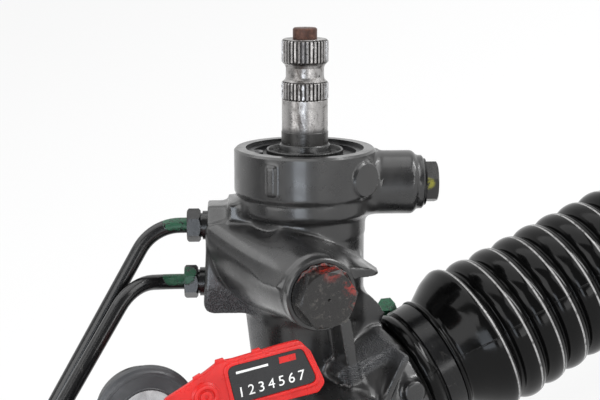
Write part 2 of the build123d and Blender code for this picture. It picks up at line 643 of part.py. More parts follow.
def piston():
    """Piston swaged into the groove of the rack bar, with a groove for its ring."""
    bore = CYL_R - CYL_WALL
    low = PISTON_X - PISTON_LEN / 2
    high = PISTON_X + PISTON_LEN / 2
    body = lathe([(RACK_R, low), (bore - 1.2, low), (bore - 0.4, low + 1), (bore - 0.4, high - 1),
                  (bore - 1.2, high), (RACK_R, high), (RACK_R, PISTON_X + 2), (RACK_R - PISTON_KEY, PISTON_X + 2),
                  (RACK_R - PISTON_KEY, PISTON_X - 2), (RACK_R, PISTON_X - 2)])
    groove = ring(bore + 1, bore - PISTON_RING_DEEP, PISTON_X - PISTON_RING_WIDE / 2, PISTON_X + PISTON_RING_WIDE / 2)
    return RACK * (body - groove)


def piston_ring():
    bore = CYL_R - CYL_WALL
    return RACK * ring(bore - FIT, bore - PISTON_RING_DEEP, PISTON_X - PISTON_RING_WIDE / 2,
                       PISTON_X + PISTON_RING_WIDE / 2)


YOKE_FACE = 8.0              # rack axis to the yoke's horns
YOKE_POCKET = 12.0
GUIDE_GAP = 0.3
CAP_POCKET = 6.0
GUIDE_COIL_R = 7.2
POCKET_R = 9.0


def rack_guide():
    """Yoke pressed against the rack's back by its spring."""
    yoke = GUIDE * disc(GUIDE_R - FIT, YOKE_FACE, YOKE_FACE + YOKE_LEN)
    yoke -= RACK * disc(RACK_R + FIT, -GUIDE_R - 2, GUIDE_R + 2)
    return yoke - GUIDE * disc(POCKET_R, YOKE_FACE + YOKE_LEN - YOKE_POCKET, YOKE_FACE + YOKE_LEN + 1)


def guide_spring():
    low = YOKE_FACE + YOKE_LEN - YOKE_POCKET + GUIDE_WIRE
    high = YOKE_FACE + YOKE_LEN + GUIDE_GAP + CAP_POCKET - GUIDE_WIRE
    return GUIDE * spring(GUIDE_COIL_R, GUIDE_WIRE, 4, low, high)


def guide_cap():
    """Threaded adjusting cap behind the spring, with its hexagon outside the lock nut."""
    low = YOKE_FACE + YOKE_LEN + GUIDE_GAP
    face = GUIDE_REACH + LOCK_NUT_LEN + 0.5
    cap = disc(GUIDE_R - SLIP, low, face)
    cap += chamfered_hexagon(GUIDE_CAP_HEX_AF, face, face + GUIDE_CAP_OUT)
    return GUIDE * (cap - disc(POCKET_R, low - 1, low + CAP_POCKET))


def guide_lock_nut():
    return GUIDE * (chamfered_hexagon(LOCK_NUT_AF, GUIDE_REACH, GUIDE_REACH + LOCK_NUT_LEN, 10)
                    - disc(GUIDE_R, GUIDE_REACH - 1, GUIDE_REACH + LOCK_NUT_LEN + 1))


# ---------------------------------------------------------------- pinion and valve
def involute_point(r):
    """Point of the tooth's flank at a radius, as (radius, half angle from the tooth's middle)."""
    base = PITCH_R * math.cos(math.radians(PRESSURE))
    inv = math.tan(math.radians(PRESSURE)) - math.radians(PRESSURE)
    half = (math.pi / 2 + 2 * SHIFT * math.tan(math.radians(PRESSURE))) * MODULE / 2 / PITCH_R
    if r <= base:
        return r, half + inv
    a = math.acos(base / r)
    return r, half + inv - (math.tan(a) - a)


def tooth_outline():
    """Closed outline of the pinion's teeth, one of them pointing at the rack."""
    base = PITCH_R * math.cos(math.radians(PRESSURE))
    radii = [ROOT_R, base] + [base + (TIP_R - base) * step / 5 for step in range(1, 6)]
    points = []
    for tooth in range(TEETH):
        middle = -math.pi / 2 + tooth * 2 * math.pi / TEETH
        flank = [involute_point(r) for r in radii]
        rising = [(r, middle - angle) for r, angle in flank]
        falling = [(r, middle + angle) for r, angle in reversed(flank)]
        points += [(r * math.cos(a), r * math.sin(a)) for r, a in rising + falling]
    return make_face(Polyline(points, close=True))


def pinion():
    """Spur pinion with its lower journal and thread, and the head that carries the valve sleeve."""
    neck = PINION_SHAFT_R
    low_bearing_low = LOW_BEARING_TOP - LOW_BEARING_LEN
    spigot_top = SLEEVE_LOW + SPIGOT_LEN
    shaft = lathe([
        (0, low_bearing_low - PINION_NUT_LEN - 2), (NUT_THREAD_R, low_bearing_low - PINION_NUT_LEN - 2),
        (NUT_THREAD_R, low_bearing_low), (LOW_JOURNAL_R, low_bearing_low), (LOW_JOURNAL_R, LOW_BEARING_TOP),
        (ROOT_R + 1.6, LOW_BEARING_TOP), (ROOT_R + 1.6, GEAR_LOW), (ROOT_R, GEAR_LOW), (ROOT_R, GEAR_TOP),
        (neck, GEAR_TOP), (neck, VALVE_BORE_LOW + 1.5), (HEAD_R, VALVE_BORE_LOW + 3), (HEAD_R, SLEEVE_LOW),
        (SPOOL_R, SLEEVE_LOW), (SPOOL_R, spigot_top), (0, spigot_top)])
    shaft += Pos(0, 0, GEAR_LOW) * extrude(tooth_outline(), GEAR_TOP - GEAR_LOW)
    slot_low = spigot_top - DOG_LEN - 0.3
    play = math.radians(VALVE_TWIST)
    half_long = math.sqrt(DOG_R ** 2 - (DOG_THICK / 2) ** 2)
    slot = DOG_THICK * math.cos(play) + 2 * half_long * math.sin(play) + 2 * FIT
    shaft -= Pos(0, 0, slot_low) * Box(slot, 2 * (DOG_R + AIR), DOG_LEN + 2, align=(Align.CENTER, Align.CENTER, Align.MIN))
    shaft -= disc(BAR_FOOT_R + 0.02, BAR_FOOT_TOP - BAR_FOOT_LEN - 0.5, slot_low + 1)
    return PINION * shaft


PINION_SHAFT_R = 8.0


def valve_sleeve():
    """Sleeve round the spool, with ring grooves outside and three metering grooves between them."""
    outer = VALVE_BORE_R - FIT
    sleeve = ring(outer, SPOOL_R + FIT, SLEEVE_LOW, SLEEVE_TOP)
    sleeve -= ring(outer + 1, HEAD_SPIGOT_R, SLEEVE_LOW - 1, SLEEVE_LOW - 0.5)
    for low in ring_stations():
        sleeve -= ring(outer + 1, outer - RING_DEEP, low, low + RING_WIDE)
    for height in metering_stations():
        sleeve -= ring(outer + 1, outer - RING_DEEP, height - 2, height + 2)
        for turn in range(0, 360, 90):
            sleeve -= Rot(0, 0, turn + 45) * Pos(0, 0, height) * Rot(0, 90, 0) * Cylinder(
                1.3, 20, align=(Align.CENTER, Align.CENTER, Align.MIN))
    return PINION * sleeve


HEAD_SPIGOT_R = 11.0
RING_DEEP = 1.6
RING_WIDE = 2.2


def metering_stations():
    """Heights of the grooves that face the ports: the two lines and the supply between them."""
    upper, lower = LINE_HEIGHTS
    return [lower, (upper + lower) / 2, upper]


def ring_stations():
    """Lower edges of the sealing rings, one on each side of every metering groove."""
    lower, middle, upper = metering_stations()
    step = (middle - lower) / 2
    return [lower - step - RING_WIDE / 2, lower + step - RING_WIDE / 2, upper - step - RING_WIDE / 2,
            SLEEVE_TOP - 1.2 - RING_WIDE]


def sleeve_rings():
    outer = VALVE_BORE_R - FIT / 2
    return Compound([(PINION * ring(outer, VALVE_BORE_R - FIT - RING_DEEP, low, low + RING_WIDE)).solid()
                     for low in ring_stations()])


def pinion_nut():
    high = LOW_BEARING_TOP - LOW_BEARING_LEN
    return PINION * (chamfered_hexagon(PINION_NUT_AF, -PINION_NUT_LEN, 0).mirror(Plane.XY)
                     - disc(NUT_THREAD_R, -1, PINION_NUT_LEN + 1)).moved(Location((0, 0, high - PINION_NUT_LEN)))


def input_shaft():
    """Splined steering input with its journals, the valve spool and the dog in the pinion's slot."""
    spool_low = SLEEVE_LOW + SPIGOT_LEN + 0.5
    edge = 0.9
    shaft = lathe([
        (0, spool_low), (SPOOL_R, spool_low), (SPOOL_R, SLEEVE_TOP + 1), (BEARING_SHAFT_R, SLEEVE_TOP + 2),
        (BEARING_SHAFT_R, OIL_SEAL_LOW), (SHAFT_R, OIL_SEAL_LOW + 0.5), (SHAFT_R, SHANK_LOW),
        (SHANK_R, SHANK_LOW + 0.3), (SHANK_R, BAND2_LOW - 0.6), (SHANK_R - 0.5, BAND2_LOW),
        (SPLINE_R, BAND2_LOW), (SPLINE_R, BAND2_TOP - edge), (SPLINE_R - edge, BAND2_TOP),
        (GROOVE_R + 0.3, BAND2_TOP + 0.6), (GROOVE_R, BAND2_TOP + 1.6), (GROOVE_R, BAND1_LOW - 1.6),
        (GROOVE_R + 0.5, BAND1_LOW - 0.5), (SPLINE_R - edge, BAND1_LOW), (SPLINE_R, BAND1_LOW + edge),
        (SPLINE_R, BAND1_TOP - edge), (SPLINE_R - edge, BAND1_TOP), (0, BAND1_TOP)])
    dog = Pos(0, 0, spool_low - 0.2 - DOG_LEN) * Box(
        DOG_THICK, 4 * DOG_R, DOG_LEN + 3, align=(Align.CENTER, Align.CENTER, Align.MIN))
    shaft += dog & disc(DOG_R, spool_low - DOG_LEN - 2, spool_low + 1)
    for low, high in ((BAND2_LOW - 0.01, BAND2_TOP), (BAND1_LOW, BAND1_TOP)):
        shaft -= spline_gaps(low, high)
    for height in metering_stations():
        for turn in range(0, 360, 60):
            shaft -= Rot(0, 0, turn) * Pos(SPOOL_R + 0.4, 0, height) * Box(3.0, 2.6, 7.0)
    shaft -= disc(BAR_HEAD_R + 0.02, BAR_TOP - BAR_HEAD_LEN - 0.5, BAR_TOP + 1)
    shaft -= disc(BAR_FOOT_R + 0.2, spool_low - DOG_LEN - 3, BAR_TOP)
    return PINION * (shaft - cross_pin_shape(CROSS_PIN_R))


def spline_gaps(low, high):
    """Gaps between the splines of one band, as one shape."""
    pitch = 2 * math.pi / SPLINES
    gaps = []
    for index in range(SPLINES):
        turn = Rot(0, 0, index * 360 / SPLINES)
        outline = Polyline([(SPLINE_R - SPLINE_DEPTH, -SPLINE_R * pitch * 0.13),
                            (SPLINE_R + 0.2, -SPLINE_R * pitch * 0.30), (SPLINE_R + 0.2, SPLINE_R * pitch * 0.30),
                            (SPLINE_R - SPLINE_DEPTH, SPLINE_R * pitch * 0.13)], close=True)
        gaps.append(turn * Pos(0, 0, low) * extrude(make_face(outline), high - low))
    return gaps


def cross_pin_shape(r):
    """Pin across the upper spline band and the torsion bar's head."""
    return Pos(0, 0, CROSS_PIN_H) * Rot(0, 0, -CROSS_PIN_ANGLE) * Rot(0, 90, 0) * Cylinder(
        r, 2 * (SPLINE_R - SPLINE_DEPTH - 0.1))


def cross_pin():
    return PINION * cross_pin_shape(CROSS_PIN_R)


def torsion_bar():
    """Bar that joins the input shaft's top to the pinion's foot and twists between them."""
    head_low = BAR_TOP - BAR_HEAD_LEN
    foot_low = BAR_FOOT_TOP - BAR_FOOT_LEN
    bar = lathe([
        (0, foot_low), (BAR_FOOT_R, foot_low), (BAR_FOOT_R, BAR_FOOT_TOP), (BAR_WAIST_R, BAR_FOOT_TOP + 2),
        (BAR_WAIST_R, head_low - 3), (BAR_FOOT_R, head_low - 1), (BAR_FOOT_R, head_low), (BAR_HEAD_R, head_low),
        (BAR_HEAD_R, BAR_TOP - 0.5), (BAR_HEAD_R - 0.5, BAR_TOP), (0, BAR_TOP)])
    bar -= Pos(0, 0, BAR_TOP) * Cone(0.1, 1.6, 3.0)
    return PINION * (bar - cross_pin_shape(CROSS_PIN_R))


def oil_seal():
    """Seal in the drum's mouth, with its lip on the shaft's journal."""
    return PINION * lathe([
        (OIL_SEAL_R, OIL_SEAL_LOW), (OIL_SEAL_R, SEAL_FACE), (SHAFT_R + 3.5, SEAL_FACE),
        (SHAFT_R + 3.5, SEAL_FACE - 2.5), (SHAFT_R + FIT, SEAL_FACE - 3.2), (SHAFT_R + FIT, OIL_SEAL_LOW + 1.2),
        (SHAFT_R + 2, OIL_SEAL_LOW + 0.8), (SHAFT_R + 2, OIL_SEAL_LOW + 3.5), (OIL_SEAL_R - 4, OIL_SEAL_LOW + 3.5),
        (OIL_SEAL_R - 4, OIL_SEAL_LOW)])


def dust_seal():
    """Rubber seal on the oil seal's face: a flat skirt and a lip up the shaft."""
    return PINION * lathe([
        (SHAFT_R + FIT, SEAL_FACE), (DUST_SKIRT_R, SEAL_FACE), (DUST_SKIRT_R, SEAL_FACE + 1.5),
        (DUST_SKIRT_R - 1.0, SEAL_FACE + 1.5), (DUST_SKIRT_R - 1.0, SEAL_FACE + 0.8),
        (DUST_LIP_R + 1.5, SEAL_FACE + 0.9), (DUST_LIP_R, SEAL_FACE + 2.4), (DUST_LIP_R, DUST_LIP_TOP - 0.6),
        (DUST_LIP_R - 0.5, DUST_LIP_TOP), (SHAFT_R + FIT, DUST_LIP_TOP)])


DUST_SKIRT_R = 15.2
DUST_LIP_R = 10.35
DUST_LIP_TOP = 115.4


def retaining_ring():
    """Internal snap ring in the drum's mouth, open between two lugs with plier holes."""
    body = ring(RING_GROOVE_R - 0.1, RING_INNER_R + 2.4, SEAL_FACE, SEAL_FACE + RING_WIRE)
    gap_turn = 180
    for side in (-1, 1):
        turn = Rot(0, 0, gap_turn + side * 17)
        lug = Pos(RING_INNER_R + 1.8, 0, SEAL_FACE) * extrude(RectangleRounded(6.4, 7.0, 1.6), RING_WIRE)
        body += turn * (lug - Pos(RING_INNER_R + 1.0, 0, 0) * disc(1.1, SEAL_FACE - 1, SEAL_FACE + RING_WIRE + 1))
    body -= Rot(0, 0, gap_turn) * Pos(RING_GROOVE_R, 0, SEAL_FACE + 1) * Box(20, 5.0, 4)
    return PINION * body


def upper_bearing():
    return PINION * ring(TOP_BEARING_R, BEARING_SHAFT_R + FIT, TOP_BEARING_LOW, OIL_SEAL_LOW)


def lower_bearing():
    return PINION * ring(LOW_BEARING_R, LOW_JOURNAL_R + FIT, LOW_BEARING_TOP - LOW_BEARING_LEN, LOW_BEARING_TOP)


def pinion_seal():
    return PINION * ring(PINION_SEAL_R, PINION_SHAFT_R + FIT, PINION_SEAL_LOW, PINION_SEAL_LOW + PINION_SEAL_LEN)


BOTTOM_CAP_WALL = 2.4
BOTTOM_HEX_AF = 27.0
BOTTOM_HEX = 6.0


def bottom_cap():
    """Threaded cap that holds the lower bearing and closes the pinion case."""
    bearing_low = LOW_BEARING_TOP - LOW_BEARING_LEN
    cup = lathe([
        (CAP_BORE_R - SLIP, bearing_low), (CAP_BORE_R - SLIP, CASE_BOTTOM), (CASE_BOTTOM_R - 1.5, CASE_BOTTOM),
        (CASE_BOTTOM_R - 1.5, CASE_BOTTOM - BOTTOM_CAP_WALL), (0, CASE_BOTTOM - BOTTOM_CAP_WALL),
        (0, CASE_BOTTOM + 1), (PINION_NUT_AF / 2 + 2.5, CASE_BOTTOM + 1), (PINION_NUT_AF / 2 + 2.5, bearing_low)])
    hex_part = hexagon(BOTTOM_HEX_AF, CASE_BOTTOM - BOTTOM_CAP_WALL - BOTTOM_HEX, CASE_BOTTOM - BOTTOM_CAP_WALL)
    return PINION * (cup + hex_part)


# ---------------------------------------------------------------- plugs, nuts and tubes
def press_in_plug():
    return plug_frame() * disc(PLUG_R, PLUG_BOSS_REACH - PLUG_DEEP, PLUG_BOSS_REACH - 0.3)


PORT_WASHER = 1.0


def port_plug():
    """Hex plug in the return port."""
    face = RETURN_REACH + PORT_WASHER
    plug = disc(RETURN_PLUG_R, RETURN_REACH - RETURN_PLUG_DEEP, face)
    plug += chamfered_hexagon(RETURN_PLUG_AF, face, face + RETURN_PLUG_HEX, 12)
    return port_frame(RETURN_H, 0) * plug


def port_washer():
    return port_frame(RETURN_H, 0) * ring(RETURN_COLLAR_R - 1.4, RETURN_PLUG_R, RETURN_REACH, RETURN_REACH + PORT_WASHER)


def side_bore_plug():
    """Large hex plug with a flange, an O-ring groove and a pocket for the damper spring."""
    seat = SIDE_REACH - SIDE_PLUG_FLANGE + 0.4
    top = SIDE_REACH + SIDE_PLUG_HEX
    body = disc(SIDE_BORE_R - SLIP, seat - SIDE_PLUG_THREAD, seat)
    body += disc(SIDE_PLUG_FLANGE_R, seat, seat + SIDE_PLUG_FLANGE)
    body += chamfered_hexagon(SIDE_PLUG_AF, seat + SIDE_PLUG_FLANGE, top, SIDE_PLUG_TURN)
    body -= ring(SIDE_BORE_R + 1, SIDE_BORE_R - O_RING - SLIP, seat - 3.4, seat - 1.2)
    body -= disc(DAMPER_POCKET_R, seat - SIDE_PLUG_THREAD - 1, seat - SIDE_PLUG_THREAD + 5)
    body -= Pos(0, 0, top) * Cone(0.1, 1.2, 1.4)
    return SIDE * body


SIDE_PLUG_TURN = 8.0
O_RING = 1.6
DAMPER_POCKET_R = 6.5
DAMPER_COIL_R = 5.2


def side_plug_o_ring():
    seat = SIDE_REACH - SIDE_PLUG_FLANGE + 0.4
    return SIDE * ring(SIDE_BORE_R, SIDE_BORE_R - O_RING - SLIP, seat - 3.3, seat - 1.3)


def damper_spool():
    """Spool at the blind end of the side bore, free to move back against its spring."""
    low = SIDE_BORE_END + 0.2
    spool = disc(SIDE_BORE_R - FIT, low, low + SPOOL_LEN) - disc(DAMPER_POCKET_R, low + 3, low + SPOOL_LEN + 1)
    return SIDE * (spool - ring(SIDE_BORE_R + 1, SIDE_BORE_R - 2, low + 3.5, low + 6))


def damper_spring():
    low = SIDE_BORE_END + 3.2 + DAMPER_WIRE
    seat = SIDE_REACH - SIDE_PLUG_FLANGE + 0.4
    return SIDE * spring(DAMPER_COIL_R, DAMPER_WIRE, 6, low, seat - SIDE_PLUG_THREAD + 5 - DAMPER_WIRE)


def tube_nut():
    """Flare nut about Z with its collar on the port at 0, bored for the tube."""
    hex_low = TUBE_NUT_COLLAR + TUBE_NUT_GROOVE
    edge = 0.8
    half = TUBE_NUT_AF / 2
    nut = disc(TUBE_NUT_R, -TUBE_NUT_THREAD, hex_low) + disc(TUBE_NUT_COLLAR_R, 0, TUBE_NUT_COLLAR)
    cone = lathe([(0, hex_low), (half, hex_low), (half + 1.0, hex_low + edge), (half + 1.0, TUBE_NUT_LEN - edge),
                  (half, TUBE_NUT_LEN), (0, TUBE_NUT_LEN)])
    nut += hexagon(TUBE_NUT_AF, hex_low, TUBE_NUT_LEN, 4) & cone
    return nut - disc(TUBE_R + SLIP, -TUBE_NUT_THREAD - 1, TUBE_NUT_LEN + 1)


def port_frames():
    """Frames on the faces of the four tube ports: valve upper, valve lower, cylinder near, cylinder far."""
    return [port_frame(LINE_HEIGHTS[0], LINE_REACH[0], -1), port_frame(LINE_HEIGHTS[1], LINE_REACH[1], -1),
            cylinder_port(CYL_PORT_NEAR_X, CYL_PORT_NEAR_LEAN) * Pos(0, 0, CYL_PORT_TOP),
            cylinder_port(CYL_PORT_FAR_X, CYL_PORT_FAR_LEAN) * Pos(0, 0, CYL_PORT_TOP)]


def tube_nuts():
    return Compound([(frame * tube_nut()).solid() for frame in port_frames()])


def point_on(frame, height):
    return (frame * Pos(0, 0, height)).position


def tube(frame_start, frame_end, bends, radii):
    """Steel line between two ports through hand-set corners, hollow."""
    corners = [point_on(frame_start, -TUBE_NUT_THREAD)] + bends + [point_on(frame_end, -TUBE_NUT_THREAD)]
    path = FilletPolyline(*corners, radius=radii)
    plane = Plane(origin=path @ 0, z_dir=path % 0)
    outer = sweep(plane * Circle(TUBE_R), path=path)
    inner = sweep(plane * Circle(TUBE_R - TUBE_WALL), path=path)
    return outer - inner


TUBE_LEAVE = 14.0            # port face to the first corner at the cylinder, beyond the nut


def near_tube():
    """Upper line, from the valve to the cylinder's near port."""
    valve, _, near, _ = port_frames()
    first = point_on(valve, 22.6)
    drop = Vector(-96.9, 30.0, 47.6)
    last = point_on(near, TUBE_NUT_LEN + TUBE_LEAVE)
    return tube(valve, near, [first, drop, last], [19.0, 20.0, 11.0])


def far_tube():
    """Lower line, from the valve along the cylinder to its far port."""
    _, valve, _, far = port_frames()
    first = point_on(valve, 16.0)
    crown = Vector(-39.8, 26.0, 84.1)
    drop = Vector(-90.0, 14.8, 55.0)
    last = point_on(far, TUBE_NUT_LEN + TUBE_LEAVE)
    return tube(valve, far, [first, crown, drop, last], [16.0, 18.0, 20.0, 11.0])


# ---------------------------------------------------------------- mounting bushes
def mount_bush(x):
    """Rubber bush of one eye: sleeve of rubber with a wide lip on the near side and a small one behind."""
    half = EYE_WIDE / 2
    side = half + BUSH_LIP
    rear = -half - BUSH_REAR
    bush = lathe([
        (SLEEVE_TUBE_R, rear), (BUSH_REAR_R - 1, rear), (BUSH_REAR_R, rear + 1), (BUSH_REAR_R, -half),
        (EYE_BORE_R, -half), (EYE_BORE_R, half), (BUSH_LIP_R - 0.8, half), (BUSH_LIP_R, half + 0.8),
        (BUSH_LIP_R, side - 1.6), (BUSH_LIP_R - 1.9, side), (SLEEVE_TUBE_R, side)])
    return Pos(x, EYE_Y, EYE_Z) * Rot(90, 0, 0) * bush


def mount_bushes():
    return Compound([mount_bush(x).solid() for x in (EYE_X, END_EYE_X)])


def mount_sleeve(x):
    """Steel sleeve of one bush, with a flange against the wide lip."""
    rear = -EYE_WIDE / 2 - BUSH_REAR - SLEEVE_STEP
    side = EYE_WIDE / 2 + BUSH_LIP
    near = side + SLEEVE_STEP
    sleeve = ring(SLEEVE_TUBE_R, BOLT_HOLE_R, rear, near) + ring(SLEEVE_FLANGE_R, BOLT_HOLE_R, side, near)
    return Pos(x, EYE_Y, EYE_Z) * Rot(90, 0, 0) * sleeve


def mount_sleeves():
    return Compound([mount_sleeve(x).solid() for x in (EYE_X, END_EYE_X)])


# ---------------------------------------------------------------- tie rods, built outboard along local Z
def mouth_cone(angle, centre, reach):
    """Cone that opens outboard from a ball centre."""
    return lathe([(0, centre), (reach * math.sin(math.radians(angle)), centre + reach * math.cos(math.radians(angle))),
                  (0, centre + 2 * reach)])


def ball_socket():
    """Socket screwed into the rack's end, closed over the ball."""
    edge = 2.0
    body = lathe([
        (0, SOCKET_BACK - SOCKET_STUD_LEN), (SOCKET_STUD_R, SOCKET_BACK - SOCKET_STUD_LEN),
        (SOCKET_STUD_R, SOCKET_BACK), (SOCKET_R - edge, SOCKET_BACK), (SOCKET_R, SOCKET_BACK + edge),
        (SOCKET_R, SOCKET_BACK + SOCKET_LEN - 5), (SOCKET_R - 4, SOCKET_BACK + SOCKET_LEN), (0, SOCKET_BACK + SOCKET_LEN)])
    for side in (-1, 1):
        body -= Pos(0, side * (SOCKET_R + 8.5), SOCKET_BACK + 7) * Box(40, 20, 9)
    body -= Pos(0, 0, BALL_U) * Sphere(BALL_R + SEAT_WALL)
    return body - mouth_cone(MOUTH_ANGLE, BALL_U, 40)


def ball_seat():
    """Plastic cup between ball and socket."""
    shell = Pos(0, 0, BALL_U) * Sphere(BALL_R + SEAT_WALL) - Pos(0, 0, BALL_U) * Sphere(BALL_R + FIT)
    return shell - mouth_cone(MOUTH_ANGLE + 3, BALL_U, 40)


def tie_rod():
    """Ball, neck and rod with its threaded end."""
    thread_end = OUTER_BALL - ROD_END_GRIP + THREAD_IN
    rod = lathe([
        (0, BALL_U), (ROD_NECK_R, BALL_U), (ROD_NECK_R, BALL_U + 22), (ROD_R, BALL_U + 30),
        (ROD_R, THREAD_START), (ROD_THREAD_R, THREAD_START + 1), (ROD_THREAD_R, thread_end - 1.2),
        (ROD_THREAD_R - 1.2, thread_end), (0, thread_end)])
    return rod + Pos(0, 0, BALL_U) * Sphere(BALL_R)


THREAD_START = 285.0
THREAD_IN = 36.0


def jam_nut():
    low = OUTER_BALL - ROD_END_GRIP - JAM_NUT_LEN
    nut = chamfered_hexagon(JAM_NUT_AF, -JAM_NUT_LEN, 0).mirror(Plane.XY).moved(Location((0, 0, low)))
    return nut - disc(ROD_THREAD_R, low - 1, low + JAM_NUT_LEN + 1)


STUD = Location(Plane(origin=(0, 0, OUTER_BALL), x_dir=(1, 0, 0), z_dir=(0, 1, 0)))


def tie_rod_end():
    """Outer tie-rod end: threaded stem and the round housing of the ball."""
    body = STUD * lathe([
        (0, -END_BODY_LOW), (END_BODY_R - 1.5, -END_BODY_LOW), (END_BODY_R - 1.5, -COVER_GRIP),
        (END_BODY_R, -COVER_GRIP), (END_BODY_R, END_BODY_TOP - 5), (END_BODY_R - 2.5, END_BODY_TOP - 2),
        (END_BODY_R - 5, END_BODY_TOP - 2), (END_BODY_R - 6, END_BODY_TOP), (0, END_BODY_TOP)])
    grip = OUTER_BALL - ROD_END_GRIP
    body += lathe([(0, grip), (STUD_SOCKET_STEM - 1, grip), (STUD_SOCKET_STEM, grip + 1),
                   (STUD_SOCKET_STEM, OUTER_BALL - 12), (0, OUTER_BALL - 12)])
    body -= disc(ROD_THREAD_R, grip - 1, grip + THREAD_IN + 4)
    body -= STUD * ring(END_BODY_R + 4.2, END_BODY_R - 1.5, -END_BODY_LOW - 10, -COVER_GRIP)
    body -= Pos(0, 0, OUTER_BALL) * Sphere(STUD_BALL_R + FIT)
    return body - STUD * mouth_cone(STUD_MOUTH_ANGLE, 0, 40).mirror(Plane.XY)


COVER_GRIP = 5.0


def ball_stud():
    """Ball with its neck, tapered shank and thread, hanging below the tie-rod end."""
    taper_low = TAPER_TOP - TAPER_LEN
    stud = lathe([
        (0, 0), (STUD_NECK_R, 0), (STUD_NECK_R, TAPER_TOP + 5), (TAPER_BIG_R, TAPER_TOP + 3), (TAPER_BIG_R, TAPER_TOP),
        (TAPER_SMALL_R, taper_low), (STUD_THREAD_R, taper_low), (STUD_THREAD_R, -STUD_LEN + 1),
        (STUD_THREAD_R - 1, -STUD_LEN), (0, -STUD_LEN)])
    return STUD * (stud + Sphere(STUD_BALL_R))


def stud_nut():
    low = -STUD_LEN + 3
    nut = chamfered_hexagon(STUD_NUT_AF, -STUD_NUT_LEN, 0).mirror(Plane.XY).moved(Location((0, 0, low)))
    flange = lathe([(0, low + STUD_NUT_LEN - 1.5), (STUD_NUT_AF * 0.62, low + STUD_NUT_LEN - 1.5),
                    (STUD_NUT_AF * 0.62, low + STUD_NUT_LEN), (0, low + STUD_NUT_LEN)])
    return STUD * (nut + flange - disc(STUD_THREAD_R, low - 1, low + STUD_NUT_LEN + 1))


COVER_WALL = 1.5


def dust_cover():
    """Rubber cover between the tie-rod end and the stud."""
    wall = COVER_WALL
    mouth = END_BODY_R - 1.5
    neck_low = TAPER_TOP + 0.4
    return STUD * lathe([
        (mouth, -COVER_GRIP), (mouth + 2.1, -COVER_GRIP), (mouth + 2.1, -END_BODY_LOW),
        (mouth + 3.3, -END_BODY_LOW - 3.5), (mouth + 2, -END_BODY_LOW - 7), (TAPER_BIG_R + 3.5, neck_low + 3.8),
        (TAPER_BIG_R + 2.4, neck_low), (TAPER_BIG_R + SLIP, neck_low), (TAPER_BIG_R + SLIP, neck_low + 3.6),
        (TAPER_BIG_R + 2.2, neck_low + 3.8 + wall), (mouth + 0.6, -END_BODY_LOW - 7 + wall * 0.6),
        (mouth + 3.3 - wall, -END_BODY_LOW - 3.5), (mouth + 0.7, -END_BODY_LOW), (mouth, -END_BODY_LOW)])


# ---------------------------------------------------------------- boots
def crest_radius(index):
    """Crest radius of a convolution: an even part, then the nose that narrows to the tie rod."""
    if index < EVEN_CRESTS:
        return CREST_R - CREST_TAPER * index
    last = CREST_R - CREST_TAPER * (EVEN_CRESTS - 1)
    return last - NOSE_STEP * (index - EVEN_CRESTS + 1)


def boot():
    """Bellows about Z: cuff with its lip and clamp seat, cone, convolutions and the cuff on the rod."""
    wall = BOOT_WALL
    seat_low = CLAMP_START - 0.4
    seat_high = CLAMP_START + CLAMP_WIDE + 0.4
    count = EVEN_CRESTS + NOSE_CRESTS
    valley = CREST_FIRST + CREST_PITCH / 2
    lip_low = CUFF_START
    cuff_out = ROD_R + 2.2
    outer = [Polyline((NECK_R, lip_low), (LIP_R - 1, lip_low), (LIP_R, lip_low + 1.5), (LIP_R, lip_low + LIP_LEN - 1),
                      (CLAMP_SEAT_R, seat_low), (CLAMP_SEAT_R, seat_high), (COLLAR_RING_R, seat_high + 0.4),
                      (COLLAR_RING_R, seat_high + 1.8), (CLAMP_SEAT_R + 0.2, CONE_START),
                      (CREST_R - 2.2, CREST_FIRST - 6.0))]
    inner = [Polyline((NECK_R, lip_low), (NECK_R, seat_high + 1.0), (CLAMP_SEAT_R + 0.2 - wall, CONE_START),
                      (CREST_R - 2.2 - wall, CREST_FIRST - 6.0))]
    start = (CREST_R - 2.2, CREST_FIRST - 6.0)
    for index in range(count):
        crest = crest_radius(index)
        middle = CREST_FIRST + CREST_PITCH * index
        low = crest - VALLEY_DEPTH
        end = (low, valley + CREST_PITCH * index)
        if index == count - 1:
            end = (cuff_out, CUFF_U)
        outer.append(ThreePointArc(start, (crest, middle), end))
        inner.append(ThreePointArc((start[0] - wall, start[1]), (crest - wall, middle), (end[0] - wall, end[1])))
        start = end
    last = (ROD_R + FIT, CUFF_U + NOSE_CUFF)
    tail = [Polyline(start, (cuff_out, CUFF_U + NOSE_CUFF), last),
            Polyline((start[0] - wall, start[1]), (ROD_R + FIT, CUFF_U + 1.5), last)]
    edges = outer + inner + tail
    outline = [edge.moved(Location()) for edge in edges]
    face = make_face([Rot(90, 0, 0) * edge for edge in outline])
    return revolve(face, Axis.Z)


def big_clamp():
    """Band round the boot's cuff with two ears that its screw draws together over a thinner tongue."""
    low = CLAMP_START
    band = ring(CLAMP_SEAT_R + CLAMP_THICK, CLAMP_SEAT_R, low, low + CLAMP_WIDE)
    ears = Rot(0, 0, EAR_TURN) * Pos(CLAMP_SEAT_R + 4.2, 0, low) * Box(
        8.2, 7.4, CLAMP_WIDE, align=(Align.CENTER, Align.CENTER, Align.MIN))
    gap = Rot(0, 0, EAR_TURN) * Pos(CLAMP_SEAT_R + CLAMP_THICK / 2, 0, low + CLAMP_WIDE / 2) * Box(
        12, 2.6, CLAMP_WIDE + 2, align=(Align.MIN, Align.CENTER, Align.CENTER))
    hole = clamp_screw_frame() * disc(CLAMP_SCREW_R + 0.05, -30, 30)
    return band + (ears - ring(CLAMP_SEAT_R, 0.1, low - 1, low + CLAMP_WIDE + 1)) - gap - hole


EAR_TURN = 28.0              # degrees from local X towards local Y: behind and above
CLAMP_SCREW_R = 2.0
CLAMP_HEAD_AF = 7.0


